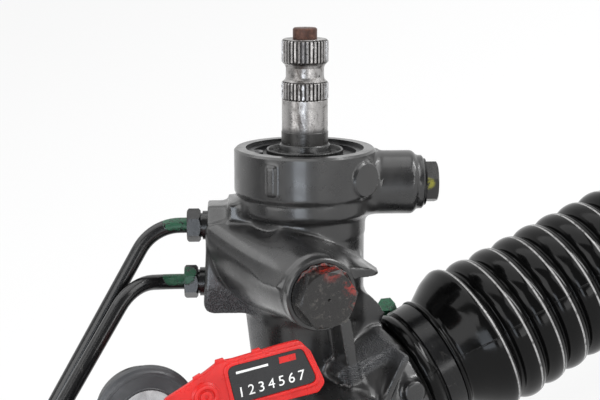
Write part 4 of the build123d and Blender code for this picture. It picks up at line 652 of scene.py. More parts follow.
def bore_tools():
    """Solids that machining takes out of the housing's blank."""
    tools = [
        lathe("tool_valve", [
            (0, 120), (24.0, 120), (24.0, SEAL_FACE + 1.6), (25.0, SEAL_FACE + 1.6), (25.0, SEAL_FACE),
            (22.5, SEAL_FACE), (22.5, 103.6), (18.9, 103.6), (18.9, 94.6), (17.4, 94.6), (20.6, 92.6),
            (20.6, 87), (18.25, 85.5), (18.25, 30), (12.5, 27), (12.5, 16.5), (10.1, 16.5), (10.1, -17),
            (11.5, -17), (11.5, -28), (15.5, -28), (15.5, -50), (0, -50)], PINION, 128),
        lathe("tool_drum_face", [
            (0, DRUM_TOP), (DRUM_R - 0.9, DRUM_TOP), (DRUM_R + 0.5, DRUM_TOP - 1.4),
            (DRUM_R + 5, DRUM_TOP + 0.4), (DRUM_R + 8, 125), (0, 125)], PINION, 160),
        lathe("tool_case_face", [(0, -40), (18.8, -40), (20.4, -38.6), (26, -40), (26, -50), (0, -50)], PINION),
        lathe("tool_rack", [
            (0, 59), (16.5, 59), (16.5, 40), (13.7, 40), (13.7, -96), (19, -96), (19, -104), (22.5, -104),
            (22.5, -123), (0, -123)], RACK),
        lathe("tool_right_face", [(0, 58), (21.6, 58), (22.9, 56.7), (26, 58), (28, 64), (0, 64)], RACK),
        lathe("tool_left_face", [
            (0, -122), (27.2, -122), (28.4, -120.8), (32, -122), (32, -130), (0, -130)], RACK),
        lathe("tool_side_bore", [(0, 58), (12.6, 58), (12.6, 48.8), (10.2, 48.8), (10.2, 20), (0, 20)], SIDE),
        lathe("tool_side_face", [
            (0, SIDE_REACH), (SIDE_R - 0.5, SIDE_REACH), (SIDE_R + 0.7, 48.8), (SIDE_R + 4, 50.4), (20, 60),
            (0, 60)], SIDE),
        lathe("tool_guide_bore", [(0, 50), (16, 50), (16, -2), (0, -2)], GUIDE),
        lathe("tool_guide_face", [
            (0, GUIDE_REACH), (21, GUIDE_REACH), (22.4, 42.6), (26, GUIDE_REACH), (26, 52), (0, 52)], GUIDE),
        lathe("tool_return_bore", [(0, 54), (7.6, 54), (7.6, 35), (0, 35)], RETURN, 64),
        lathe("tool_return_face", [(0, RETURN_REACH), (10.4, RETURN_REACH), (11.2, RETURN_REACH - 0.8),
                                   (15, RETURN_REACH), (15, 58), (0, 58)], RETURN),
        lathe("tool_plug", [(0, 40), (5.9, 40), (5.9, 25.8), (0, 25.8)], PLUG, 64),
        lathe("tool_plug_face", [(0, 29.8), (6.5, 29.8), (7.3, 29.0), (9.5, 29.9), (9.5, 40), (0, 40)],
              PLUG, 64),
    ]
    for i, port in enumerate(LINE_PORTS):
        reach = LINE_REACH[i]
        profile = [(0, 48), (7.4, 48), (7.4, reach), (5.1, reach), (5.1, 28), (0, 28)]
        tools.append(lathe(f"tool_line_{i}", profile, port, 64))
    return tools + eye_tools(EYE_X)


def eye_tools(centre):
    """Bore and faces of a mounting eye."""
    eye = basis((centre, 0, EYE_Z), (1, 0, 0), (0, 1, 0))
    tools = [lathe("tool_eye", [(0, 30), (EYE_BORE_R, 30), (EYE_BORE_R, -30), (0, -30)], eye)]
    for low, high, sign in ((EYE_FAR, 8, 1), (EYE_NEAR, -24, -1)):
        tools.append(lathe("tool_eye_face" + ("_b" if sign > 0 else "_f"), [
            (0, low), (EYE_R - 0.8, low), (EYE_R + 0.4, low - sign * 1.2), (EYE_R + 5, low), (EYE_R + 5, high),
            (0, high)], eye))
    return tools


def housing_piece():
    ob = cut(housing_blank(), bore_tools())
    crease(ob, 34)
    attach(ob, "housing")
    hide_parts("housing")
    return ob


def end_blank():
    """The cylinder end's casting before machining."""
    casting = Casting((-358, -36, -36), (-296, 36, 76), END_GRID)

    def body(x, y, z):
        return polygon(np.hypot(y, z), x, [(-60, -355), (22.5, -355), (22.5, -335.2), (25, -335), (28, -331),
                                           (28, -301), (-60, -301)])

    def boot_room(x, y, z):
        return box2(np.abs(x + 350) - 15, np.abs(np.hypot(y, z) - 31) - 8.4)

    casting.join((-358, -36, -36), (-296, 36, 36), body, 1.0)
    casting.join((-352, -22, -4), (-296, 4, 76), eye_web_form(END_EYE_X), 5.0)
    casting.join((-352, -22, 20), (-300, 4, 76), eye_form(END_EYE_X), 3.0)
    casting.carve((-358, -36, 22.6), (-335, 36, 50), boot_room, 0.5)
    return casting.mesh("cylinder_end_cast", SMOOTHING)


def end_piece():
    tools = [
        lathe("tool_end_bore", [
            (0, -303), (22.5, -303), (22.5, -322), (19, -322), (19, -330), (13.7, -330), (13.7, -334),
            (16.5, -334), (16.5, -358), (0, -358)], RACK),
        lathe("tool_end_right", [
            (0, -304), (27.2, -304), (28.4, -305.2), (32, -304), (32, -296), (0, -296)], RACK),
        lathe("tool_end_left", [
            (0, -352), (21.6, -352), (22.9, -350.7), (26, -352), (26, -360), (0, -360)], RACK)]
    ob = cut(end_blank(), tools + eye_tools(END_EYE_X))
    crease(ob, 34)
    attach(ob, "housing")
    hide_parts("cylinder_end")
    return ob


# ---------------------------------------------------------------- materials
class Nodes:
    """Short ways to add nodes to a node tree."""

    def __init__(self, tree):
        self.tree = tree

    def node(self, kind, **settings):
        made = self.tree.nodes.new(kind)
        for key, value in settings.items():
            setattr(made, key, value)
        return made

    def put(self, socket, value):
        """Sets a socket to a number or colour, or links another socket to it."""
        if isinstance(value, bpy.types.NodeSocket):
            self.tree.links.new(value, socket)
        elif isinstance(value, (tuple, list)) and len(value) == 3 and socket.type == "RGBA":
            socket.default_value = (*value, 1)
        else:
            socket.default_value = value

    def fill(self, node, **values):
        """Puts values into a node's inputs, named with _ for each space, and returns the node."""
        for key, value in values.items():
            self.put(node.inputs[key.replace("_", " ")], value)
        return node

    def math(self, operation, *values):
        made = self.node("ShaderNodeMath", operation=operation)
        for socket, value in zip(made.inputs, values):
            self.put(socket, value)
        return made.outputs["Value"]

    def times(self, a, b):
        return self.math("MULTIPLY", a, b)

    def most(self, a, b):
        return self.math("MAXIMUM", a, b)

    def spread(self, value, low, high, to_low=0.0, to_high=1.0):
        """Carries a range smoothly over to another, and holds still outside it."""
        made = self.node("ShaderNodeMapRange", interpolation_type="SMOOTHSTEP")
        self.fill(made, Value=value, From_Min=low, From_Max=high, To_Min=to_low, To_Max=to_high)
        return made.outputs["Result"]

    def shared(self, share, first, second, output):
        """Sends a mix of two shaders to an output node."""
        mix = self.node("ShaderNodeMixShader")
        for socket, value in zip(mix.inputs, (share, first.outputs[0], second.outputs[0])):
            self.put(socket, value)
        self.put(self.node(output).inputs["Surface"], mix.outputs[0])


class Shader(Nodes):
    """A new node material."""

    def __init__(self, name):
        self.mat = bpy.data.materials.new(name)
        self.mat.use_nodes = True
        super().__init__(self.mat.node_tree)
        self.bsdf = self.tree.nodes["Principled BSDF"]
        self.coords = self.node("ShaderNodeTexCoord").outputs["Object"]

    def set(self, **values):
        self.fill(self.bsdf, **values)

    def noise(self, scale, detail=3.0, rough=0.5, warp=0.0, coords=None):
        made = self.node("ShaderNodeTexNoise")
        self.fill(made, Vector=coords or self.coords, Scale=scale, Detail=detail, Roughness=rough,
                  Distortion=warp)
        return made.outputs["Fac"]

    def stretched(self, factors, turn=(0, 0, 0)):
        made = self.node("ShaderNodeMapping")
        return self.fill(made, Vector=self.coords, Scale=factors, Rotation=turn).outputs["Vector"]

    def cells(self, scale):
        made = self.node("ShaderNodeTexVoronoi", feature="F1")
        return self.fill(made, Vector=self.coords, Scale=scale).outputs["Distance"]

    def ramp(self, value, *stops):
        made = self.node("ShaderNodeValToRGB")
        self.put(made.inputs["Fac"], value)
        bar = made.color_ramp
        while len(bar.elements) > 1:
            bar.elements.remove(bar.elements[-1])
        for i, (at, colour) in enumerate(stops):
            if isinstance(colour, (int, float)):
                colour = (colour, colour, colour)
            stop = bar.elements[0] if i == 0 else bar.elements.new(at)
            stop.position = at
            stop.color = (*colour, 1)
        return made.outputs["Color"]

    def mix(self, factor, a, b):
        """Mix of two colours."""
        made = self.node("ShaderNodeMix", data_type="RGBA")
        self.put(made.inputs["Factor"], factor)
        self.put(made.inputs[6], a)
        self.put(made.inputs[7], b)
        return made.outputs[2]

    def dot(self, direction, offset=0.0):
        """Distance along a direction, in metres."""
        made = self.node("ShaderNodeVectorMath", operation="DOT_PRODUCT")
        self.put(made.inputs[0], self.coords)
        made.inputs[1].default_value = direction
        return self.math("SUBTRACT", made.outputs["Value"], offset)

    def across(self, direction, point):
        """Distance along a direction from a row point, in metres."""
        direction = Vector(direction)
        return self.dot(tuple(direction), direction.dot(Vector(point)))

    def ball(self, centre, radius, soft):
        """1 inside a ball about a row point, 0 outside, with a soft edge."""
        made = self.node("ShaderNodeVectorMath", operation="DISTANCE")
        self.put(made.inputs[0], self.coords)
        made.inputs[1].default_value = centre
        return self.spread(made.outputs["Value"], radius - soft, radius + soft, 1, 0)

    def attribute(self, name):
        made = self.node("ShaderNodeAttribute", attribute_name=name)
        return made.outputs["Fac"]

    def bump(self, *layers):
        """Chain of bumps from (height, strength, distance in metres)."""
        normal = {}
        for height, strength, distance in layers:
            made = self.node("ShaderNodeBump")
            self.fill(made, Height=height, Strength=strength, Distance=distance, **normal)
            normal = {"Normal": made.outputs["Normal"]}
        self.set(**normal)


def cast_black():
    """Semi-gloss black paint over a sand casting, rougher in some places."""
    s = Shader("cast_black")
    grain = s.noise(1500, 4, 0.6)
    sand = s.cells(1500)
    soft = s.noise(170, 3, 0.5)
    broad = s.noise(38, 4, 0.55, 0.4)
    rough_area = s.attribute("sand")
    tint = s.ramp(broad, (0.3, (0.0080, 0.0080, 0.0086)), (0.7, (0.0165, 0.0160, 0.0155)))
    s.set(Base_Color=s.mix(rough_area, tint, (0.040, 0.041, 0.044)))
    smooth = s.spread(s.math("ADD", soft, s.times(broad, 0.5)), 0.5, 1.0, 0.24, 0.38)
    s.set(Roughness=s.math("ADD", smooth, s.times(rough_area, 0.22)))
    s.set(Specular_IOR_Level=0.55)
    sandy = s.times(rough_area, s.spread(sand, 0.05, 0.75))
    s.bump((soft, 0.035, 0.0010), (grain, 0.012, 0.0002), (sandy, 1.0, 0.00045))
    s.set(Coat_Weight=0.35, Coat_Roughness=0.16)
    return s.mat


def worn_black(s, scuff):
    """Black paint that scuffs have thinned."""
    return s.mix(s.spread(scuff, 0.60, 0.68), (0.0045, 0.0045, 0.0048), (0.022, 0.021, 0.020))


def line_black():
    """Glossier black paint, with scuffs."""
    s = Shader("line_black")
    scuff = s.noise(240, 5, 0.65, 1.2)
    fine = s.noise(2200, 3, 0.6)
    s.set(Base_Color=worn_black(s, scuff), Roughness=s.spread(s.noise(120, 3), 0.3, 0.75, 0.16, 0.30))
    s.set(Specular_IOR_Level=0.32)
    s.bump((scuff, 0.10, 0.0005), (fine, 0.03, 0.0002))
    return s.mat


def green_on(name, marks, green=(0.004, 0.060, 0.026)):
    """The same black paint with brushed green inspection marks inside the given balls."""
    s = Shader(name)
    scuff = s.noise(240, 5, 0.65, 1.2)
    ragged = s.noise(700, 4, 0.7, 1.0)
    area = None
    for centre, radius in marks:
        one = s.ball(centre, radius, 0.0016)
        area = one if area is None else s.most(area, one)
    paint = s.spread(s.times(area, s.spread(ragged, 0.36, 0.5)), 0.35, 0.6)
    s.set(Base_Color=s.mix(paint, worn_black(s, scuff), green))
    s.set(Roughness=s.spread(paint, 0, 1, 0.22, 0.42))
    s.bump((scuff, 0.08, 0.0005), (paint, 0.4, 0.0002))
    return s.mat


SOOT_TOP = 0.121             # height on the shaft below which it is dark


def bare_steel():
    """Turned and splined steel with stains, pits and dark oxide, with painted shade in the spline grooves and a
    painted dark reflection down its left side.
    """
    s = Shader("bare_steel")
    foot = row((0, 0, 0), PINION)
    rings = s.noise(1, 2, 0.5, 0, s.stretched((260, 260, 2600), (0, LEAN, 0)))
    blotch = s.noise(210, 5, 0.65, 0.8)
    pits = s.spread(s.noise(620, 4, 0.6), 0.62, 0.70)
    sooty = s.spread(s.across((SIN, 0, COS), foot), SOOT_TOP - 0.0010, SOOT_TOP + 0.0022, 1, 0)
    stain = s.spread(blotch, 0.5, 0.72)
    clean = s.mix(stain, (0.36, 0.35, 0.345), (0.10, 0.092, 0.086))
    u = s.across((COS, 0, -SIN), foot)
    v = s.across((0, 1, 0), foot)
    radius = s.math("SQRT", s.math("ADD", s.times(u, u), s.times(v, v)))
    # painted shade between the splines' feet and their tops, and a painted dark reflection in a streaky band
    # down the left of the shaft
    spline_groove_shade = s.times(s.spread(radius, 0.00872, 0.00884), s.spread(radius, 0.00905, 0.0093, 1, 0))
    broken_spline_shade = s.times(spline_groove_shade, s.spread(s.noise(400, 3), 0.25, 0.45))
    # painted dark reflection: a streaky darker band down the shaft's left side
    reflection_streaks = s.noise(1, 3, 0.6, 0.5, s.stretched((500, 500, 90), (0, LEAN, 0)))
    painted_dark_reflection = s.times(s.spread(s.math("ABSOLUTE", s.math("ADD", u, 0.0048)), 0.0005, 0.0034, 0.85, 0),
                    s.spread(reflection_streaks, 0.25, 0.6))
    clean = s.mix(painted_dark_reflection, clean, (0.055, 0.048, 0.044))
    clean = s.mix(broken_spline_shade, clean, (0.035, 0.033, 0.032))
    dark = s.most(pits, sooty)
    s.set(Base_Color=s.mix(dark, clean, (0.02, 0.019, 0.018)))
    s.set(Metallic=s.spread(dark, 0, 1, 1.0, 0.25))
    s.set(Roughness=s.spread(s.math("ADD", blotch, s.times(pits, 0.3)), 0.35, 0.8, 0.24, 0.5))
    s.bump((rings, 0.18, 0.0002), (blotch, 0.25, 0.0003), (pits, 0.5, 0.0002))
    return s.mat


def rust_steel():
    """Rusty end of the torsion bar."""
    s = Shader("rust_steel")
    blotch = s.noise(420, 5, 0.65, 0.6)
    tint = s.ramp(blotch, (0.3, (0.022, 0.009, 0.006)), (0.55, (0.070, 0.028, 0.018)),
                  (0.75, (0.16, 0.085, 0.060)))
    s.set(Base_Color=tint, Metallic=0.45, Roughness=s.spread(blotch, 0.3, 0.7, 0.34, 0.6))
    s.bump((blotch, 0.5, 0.0003), (s.noise(2500, 3), 0.3, 0.0001))
    return s.mat


def plain_metal(name, light, dark, rough, metal):
    """Machined or plated metal with slight mottling."""
    s = Shader(name)
    blotch = s.noise(160, 4, 0.6, 0.4)
    fine = s.noise(900, 3, 0.6)
    s.set(Base_Color=s.mix(s.spread(blotch, 0.35, 0.7), light, dark), Metallic=metal)
    s.set(Roughness=s.spread(s.math("ADD", blotch, fine), 0.7, 1.3, rough - 0.07, rough + 0.09))
    s.bump((fine, 0.15, 0.0002), (blotch, 0.15, 0.0005))
    return s.mat


def threaded(name, light, rough, axis_point, axis, start, end, pitch):
    """Metal with a thread on a stretch of its axis, given by distances along the axis from a row point."""
    s = Shader(name)
    axis = Vector(axis).normalized()
    side = axis.orthogonal().normalized()
    other = axis.cross(side)
    along = s.across(axis, axis_point)
    u = s.across(side, axis_point)
    v = s.across(other, axis_point)
    turn = s.math("DIVIDE", s.math("ARCTAN2", v, u), 2 * math.pi)
    wave = s.math("PINGPONG", s.math("ADD", s.math("DIVIDE", along, pitch), turn), 0.5)
    inside = s.times(s.spread(along, start, start + 0.001), s.spread(along, end - 0.001, end, 1, 0))
    thread = s.times(wave, inside)
    blotch = s.noise(160, 4, 0.6, 0.4)
    # painted shade in the thread's grooves, joined below with blotchy stains
    thread_groove_shade = s.times(s.spread(wave, 0.0, 0.3, 1, 0), inside)
    dark = tuple(c * 0.45 for c in light)
    stain_and_groove_shade = s.most(thread_groove_shade, s.spread(blotch, 0.45, 0.8, 0, 0.7))
    s.set(Base_Color=s.mix(stain_and_groove_shade, light, dark), Metallic=1.0)
    s.set(Roughness=s.spread(blotch, 0.35, 0.7, rough - 0.06, rough + 0.1))
    s.bump((thread, 1.0, pitch * 0.6), (s.noise(900, 3), 0.12, 0.0002))
    return s.mat


def boot_rubber(name, seam_normal, axis_point, first_shoulder, outward):
    """Glossy black rubber with a thin mould seam along the boot, and pale lines along its crests that are
    painted highlights broken up like wear.
    """
    s = Shader(name)
    off = s.math("ABSOLUTE", s.across(seam_normal, axis_point))
    seam = s.spread(off, 0.00012, 0.00042, 1, 0)
    broken = s.times(seam, s.spread(s.noise(300, 3), 0.35, 0.5))
    film = s.noise(60, 4, 0.55, 0.6)
    specks = s.spread(s.noise(1400, 3, 0.7), 0.69, 0.76)
    smear = s.noise(1, 3, 0.5, 0.3, s.stretched((40, 220, 220)))
    tint = s.mix(s.times(specks, 0.4), (0.0022, 0.0022, 0.0022), (0.035, 0.034, 0.032))
    along = s.dot((outward, 0, 0), outward * first_shoulder)
    phase = s.math("PINGPONG", s.math("DIVIDE", along, PITCH / 1000), 0.5)
    # pale lines on the crests' outer shoulders, from the first crest on: painted highlights, broken up like
    # wear
    crest_highlight_and_wear = s.times(s.spread(phase, 0.016, 0.055, 1, 0), s.spread(s.noise(260, 5, 0.7), 0.26, 0.52))
    crest_highlight_and_wear = s.times(crest_highlight_and_wear, s.spread(along, -0.006, -0.004))
    tint = s.mix(s.times(crest_highlight_and_wear, 0.8), tint, (0.36, 0.355, 0.35))
    s.set(Base_Color=tint, Roughness=s.spread(s.math("ADD", film, smear), 0.7, 1.35, 0.08, 0.22))
    s.set(Specular_IOR_Level=0.17)
    s.bump((s.noise(45, 3), 0.15, 0.0008), (s.noise(700, 3), 0.02, 0.0003), (broken, 0.8, 0.0003))
    return s.mat


def soft_rubber(name, colour, rough):
    s = Shader(name)
    dust = s.noise(120, 4, 0.6, 0.5)
    fine = s.noise(1600, 3, 0.6)
    pale = tuple(min(1, c * 2.0 + 0.008) for c in colour)
    s.set(Base_Color=s.mix(s.spread(dust, 0.5, 0.8, 0, 0.7), colour, pale))
    s.set(Roughness=s.spread(dust, 0.3, 0.75, rough - 0.08, rough + 0.1))
    s.bump((dust, 0.2, 0.0006), (fine, 0.2, 0.0002))
    return s.mat


def plastic(name, colour, rough):
    s = Shader(name)
    cloud = s.noise(90, 3, 0.5)
    deep = tuple(c * 0.82 for c in colour)
    s.set(Base_Color=s.mix(s.spread(cloud, 0.35, 0.7), colour, deep))
    s.set(Roughness=s.spread(s.noise(400, 3), 0.3, 0.7, rough - 0.04, rough + 0.06))
    s.bump((s.noise(220, 3), 0.12, 0.0004), (s.noise(2000, 2), 0.06, 0.0001))
    return s.mat


# ---------------------------------------------------------------- dressing CAD nodes
def dress(material, *names):
    for name in names:
        ob = NODES[name]
        ob.data.materials.clear()
        ob.data.materials.append(material)


def paint_piece(ob, material):
    ob.data.materials.clear()
    ob.data.materials.append(material)
    return ob


# ---------------------------------------------------------------- boots
CREST_FIRST = 17.3
CREST_R = 33.0
PITCH = 11.5
EVEN = 11
NOSE = 5
CREST_LAST = CREST_FIRST + PITCH * (EVEN - 1)
CUFF_U = CREST_LAST + PITCH * NOSE + PITCH / 2
SPLIT = 10                   # crest where the boot's two pieces meet
SPLIT_U = CREST_FIRST + PITCH * SPLIT
SAG = 2.8
WALL = 1.4
CREST_TAPER = 0.45           # crest radius lost per convolution along the even part
NOSE_STEP = 2.9              # crest radius lost per convolution along the nose
VALLEY_DEPTH = 4.6
WOBBLE_SEEDS = {"right": 7, "left": 11}
CROWD = 0.10                 # how much the points crowd towards the valleys


def crest_radius(index):
    if index < EVEN:
        return CREST_R - CREST_TAPER * index
    return CREST_R - CREST_TAPER * (EVEN - 1) - NOSE_STEP * (index - EVEN + 1)


def hump(start, crest, end, steps):
    """Points of one convolution from valley to valley: steep sides and a full round crest."""
    made = []
    for k in range(1, steps + 1):
        t = k / steps
        rise = math.sin(math.pi * t) ** 0.6
        floor = start[0] * (1 - t) + end[0] * t
        u = start[1] * (1 - t) + end[1] * t
        # points crowd towards the valleys, where the wall turns back on itself
        u = u - CROWD * (end[1] - start[1]) * math.sin(2 * math.pi * t) / 2
        made.append((floor + (crest - floor) * rise, u))
    return made


def boot_outline():
    """(radius, U) along the boot's outside, from the lip to the small cuff."""
    points = [(22.7, -15.0), (25.2, -15.0), (26.0, -14.3), (26.2, -13.2), (26.2, -11.9), (25.8, -11.0),
              (24.7, -9.6), (24.6, -8.7), (24.6, -0.7), (24.9, -0.6), (25.8, -0.5), (26.1, 0.0), (26.0, 0.7),
              (25.4, 1.3), (24.8, 1.9), (24.8, 2.6), (25.6, 4.0), (26.9, 6.0), (28.3, 8.0), (29.6, 9.8),
              (30.6, 11.4)]
    start = points[-1]
    steps = 14
    for index in range(EVEN + NOSE):
        middle = CREST_FIRST + PITCH * index
        crest = crest_radius(index)
        end = (crest - VALLEY_DEPTH, middle + PITCH / 2)
        if index == EVEN + NOSE - 1:
            end = (8.9, CUFF_U)
        if index == 0:
            # the first crest ends a long cone instead of a valley
            points += [(31.2, 12.6), (31.9, 14.0), (32.5, 15.4), (32.9, 16.6), (33.0, 17.6), (32.8, 18.9),
                       (32.0, 20.2), (30.8, 21.4), (29.4, 22.3), end]
        else:
            points += hump(start, crest, end, steps)
        start = end
    points += [(8.75, CUFF_U + 1.0), (8.7, CUFF_U + 2.6), (8.7, CUFF_U + 10.4), (8.7, CUFF_U + 12.4),
               (8.3, CUFF_U + 13.0), (6.56, CUFF_U + 13.0)]
    return points


def sag(u):
    """How far the boot's middle hangs below the rack axis."""
    return -SAG * smooth_step(u, 3, 33) * smooth_step(u, CUFF_U - 4, CUFF_U - 49)


def boot_part(side, name, outline, low, high, turns):
    """Ribbon of the boot's outside between two U, thickened inwards."""
    matrix = TO_ROW @ (RIGHT if side == "right" else LEFT)
    chosen = [p for p in outline if low - 1e-6 <= p[1] <= high + 1e-6]
    rng = np.random.default_rng(WOBBLE_SEEDS[side])
    wobble = rng.uniform(-1, 1, (EVEN + NOSE + 2, 3))
    count = len(chosen)
    rows = []
    for r, u in chosen:
        index = min(EVEN + NOSE, max(0, int((u - CREST_FIRST + PITCH / 2) / PITCH)))
        t = (u - CREST_FIRST + PITCH / 2) / PITCH - index
        lean, _, squeeze = wobble[index]
        nxt = wobble[index + 1]
        lean = (lean * (1 - t) + nxt[0] * t) * 0.35
        squeeze = (squeeze * (1 - t) + nxt[2] * t) * 0.18
        free = 1.0 if 14 < u < CUFF_U - 6 else 0.0
        rows.append((r + squeeze * free, u, lean * free, sag(u)))
    verts = []
    for shell in (0.0, WALL):
        for r, u, lean, drop in rows:
            for k in range(turns):
                a = 2 * math.pi * k / turns
                rr = r - shell
                x = rr * math.cos(a)
                y = rr * math.sin(a) + drop
                verts.append(matrix @ Vector((x, y, u + lean * math.sin(a + 0.6) * 0.6)))
    faces = []
    for i in [*range(count - 1), *range(count, 2 * count - 1)]:
        faces += ring_quads(i * turns, (i + 1) * turns, turns)
    for i in (0, count - 1):
        faces += ring_quads(i * turns, (count + i) * turns, turns)
    ob = new_object(name, verts, faces)
    outward(ob)
    return ob


def boots(material_of):
    outline = boot_outline()
    turns = 144
    for side, sign, stop in (("right", 1.0, RIGHT_STOP), ("left", -1.0, LEFT_STOP)):

        def at(u):
            return tuple(row((stop + sign * u, 0, 0)))

        main = boot_part(side, side + "_boot_bellows", outline, -16, SPLIT_U, turns)
        nose = boot_part(side, side + "_boot_nose", outline, SPLIT_U, 400, turns)
        for ob in (main, nose):
            paint_piece(ob, material_of[side])
            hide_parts(side + "_boot")
        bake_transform(main)
        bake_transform(nose)


# ---------------------------------------------------------------- camera, light and stage
CAMERA_PLACE = (-92.687, -482.652, 263.704)
CAMERA_RIGHT = (0.85433, -0.35535, -0.37928)
CAMERA_UP = (0.4636, 0.19115, 0.86518)
CAMERA_FORWARD = (0.23494, 0.91498, -0.32804)


def camera():
    data = bpy.data.cameras.new("camera")
    data.lens = 79.98
    data.sensor_width = 36
    data.sensor_fit = "HORIZONTAL"
    data.clip_start = 0.01
    data.clip_end = 100
    ob = linked("camera", data)
    m = Matrix((Vector(CAMERA_RIGHT), Vector(CAMERA_UP), -Vector(CAMERA_FORWARD))).transposed().to_4x4()
    m.translation = row(CAMERA_PLACE)
    ob.matrix_world = m
    bpy.context.scene.camera = ob


def lamp(name, place, target, size, power, colour=(1, 1, 1)):
    data = bpy.data.lights.new(name, "AREA")
    data.shape = "RECTANGLE"
    data.size = size[0]
    data.size_y = size[1]
    data.energy = power
    data.color = colour
    ob = linked(name, data)
    ob.location = place
    ob.rotation_euler = (Vector(target) - Vector(place)).to_track_quat("-Z", "Y").to_euler()


STUDIO_BACK = (0.24, 0.95, -0.15)
NEAR_SIDE_WHITE = 0.24
FLOOR_HALF = 9.0
FLOOR_WHITE = 0.9            # share of the floor's own white in what the camera and reflections see


def light_path(n):
    """1 for rays that should see the plain white background."""
    path = n.node("ShaderNodeLightPath").outputs
    return n.most(n.most(path["Is Camera Ray"], path["Is Glossy Ray"]), path["Is Transmission Ray"])


def studio(n):
    """White all round for the camera; for reflections white behind the object and dim on the near side."""
    facing = n.node("ShaderNodeVectorMath", operation="DOT_PRODUCT")
    n.put(facing.inputs[0], n.node("ShaderNodeTexCoord").outputs["Generated"])
    facing.inputs[1].default_value = STUDIO_BACK
    shade = n.spread(facing.outputs["Value"], -0.30, 0.45, NEAR_SIDE_WHITE, 1.0)
    return n.most(shade, n.node("ShaderNodeLightPath").outputs["Is Camera Ray"])


def world():
    w = bpy.data.worlds.new("world")
    bpy.context.scene.world = w
    w.use_nodes = True
    n = Nodes(w.node_tree)
    n.tree.nodes.clear()
    soft = n.fill(n.node("ShaderNodeBackground"), Color=(0.96, 0.98, 1.0), Strength=0.35)
    white = n.fill(n.node("ShaderNodeBackground"), Color=studio(n), Strength=1.0)
    n.shared(light_path(n), soft, white, "ShaderNodeOutputWorld")


def floor():
    """White floor at the part's lowest point, which keeps the part's shadow."""
    verts = [(x * FLOOR_HALF, y * FLOOR_HALF, cad_box[0][2]) for x, y in ((-1, -1), (1, -1), (1, 1), (-1, 1))]
    ob = new_object("floor", verts, [(0, 1, 2, 3)], smooth=False)
    mat = bpy.data.materials.new("floor_white")
    mat.use_nodes = True
    n = Nodes(mat.node_tree)
    n.tree.nodes.clear()
    matte = n.fill(n.node("ShaderNodeBsdfDiffuse"), Color=(0.85, 0.85, 0.85))
    glow = n.fill(n.node("ShaderNodeEmission"), Strength=1.0)
    n.shared(n.times(light_path(n), FLOOR_WHITE), matte, glow, "ShaderNodeOutputMaterial")
    ob.data.materials.append(mat)


# ---------------------------------------------------------------- seal tag
TAG = basis((0, -38.4, 0), (1, 0, 0), (0, -1, 0))
PANEL = [(-29.86, 61.91), (-1.2, 53.7), (-0.75, 38.12), (-32.85, 47.0)]
PLATE = [(-36.8, 64.2), (-32.7, 64.9), (-28.7, 64.2), (-26.2, 63.3), (-7.4, 58.6), (-0.9, 56.7), (1.4, 50.5),
         (1.6, 36.2), (-2.4, 34.0), (-13.4, 37.4), (-36.0, 44.4), (-40.5, 47.6), (-48.0, 50.2), (-55.5, 52.4),
         (-57.2, 57.6), (-55.2, 62.6), (-45.5, 63.2)]


def bevelled(ob, width, segments=3, degrees=35):
    mod = ob.modifiers.new("bevel", "BEVEL")
    mod.width = width
    mod.segments = segments
    mod.limit_method = "ANGLE"
    mod.angle_limit = math.radians(degrees)
    made = evaluated(ob)
    ob.modifiers.clear()
    ob.data = made
    crease(ob, 40)
    return ob


def offset_outline(points, distance):
    """The outline moved inward by a distance."""
    count = len(points)
    area = sum(points[i][0] * points[(i + 1) % count][1] - points[(i + 1) % count][0] * points[i][1]
               for i in range(count))
    sign = 1 if area > 0 else -1
    made = []
    for i in range(count):
        p = Vector(points[i])
        a = (p - Vector(points[i - 1])).normalized()
        b = (Vector(points[(i + 1) % count]) - p).normalized()
        na = Vector((-a.y, a.x)) * sign
        nb = Vector((-b.y, b.x)) * sign
        n = na + nb
        made.append(tuple(p + n * (distance / max(0.3, n.dot(na)))))
    return made


def directions(degrees):
    """Directions along and across a line at that angle."""
    a = math.radians(degrees)
    return Vector((math.cos(a), math.sin(a))), Vector((-math.sin(a), math.cos(a)))


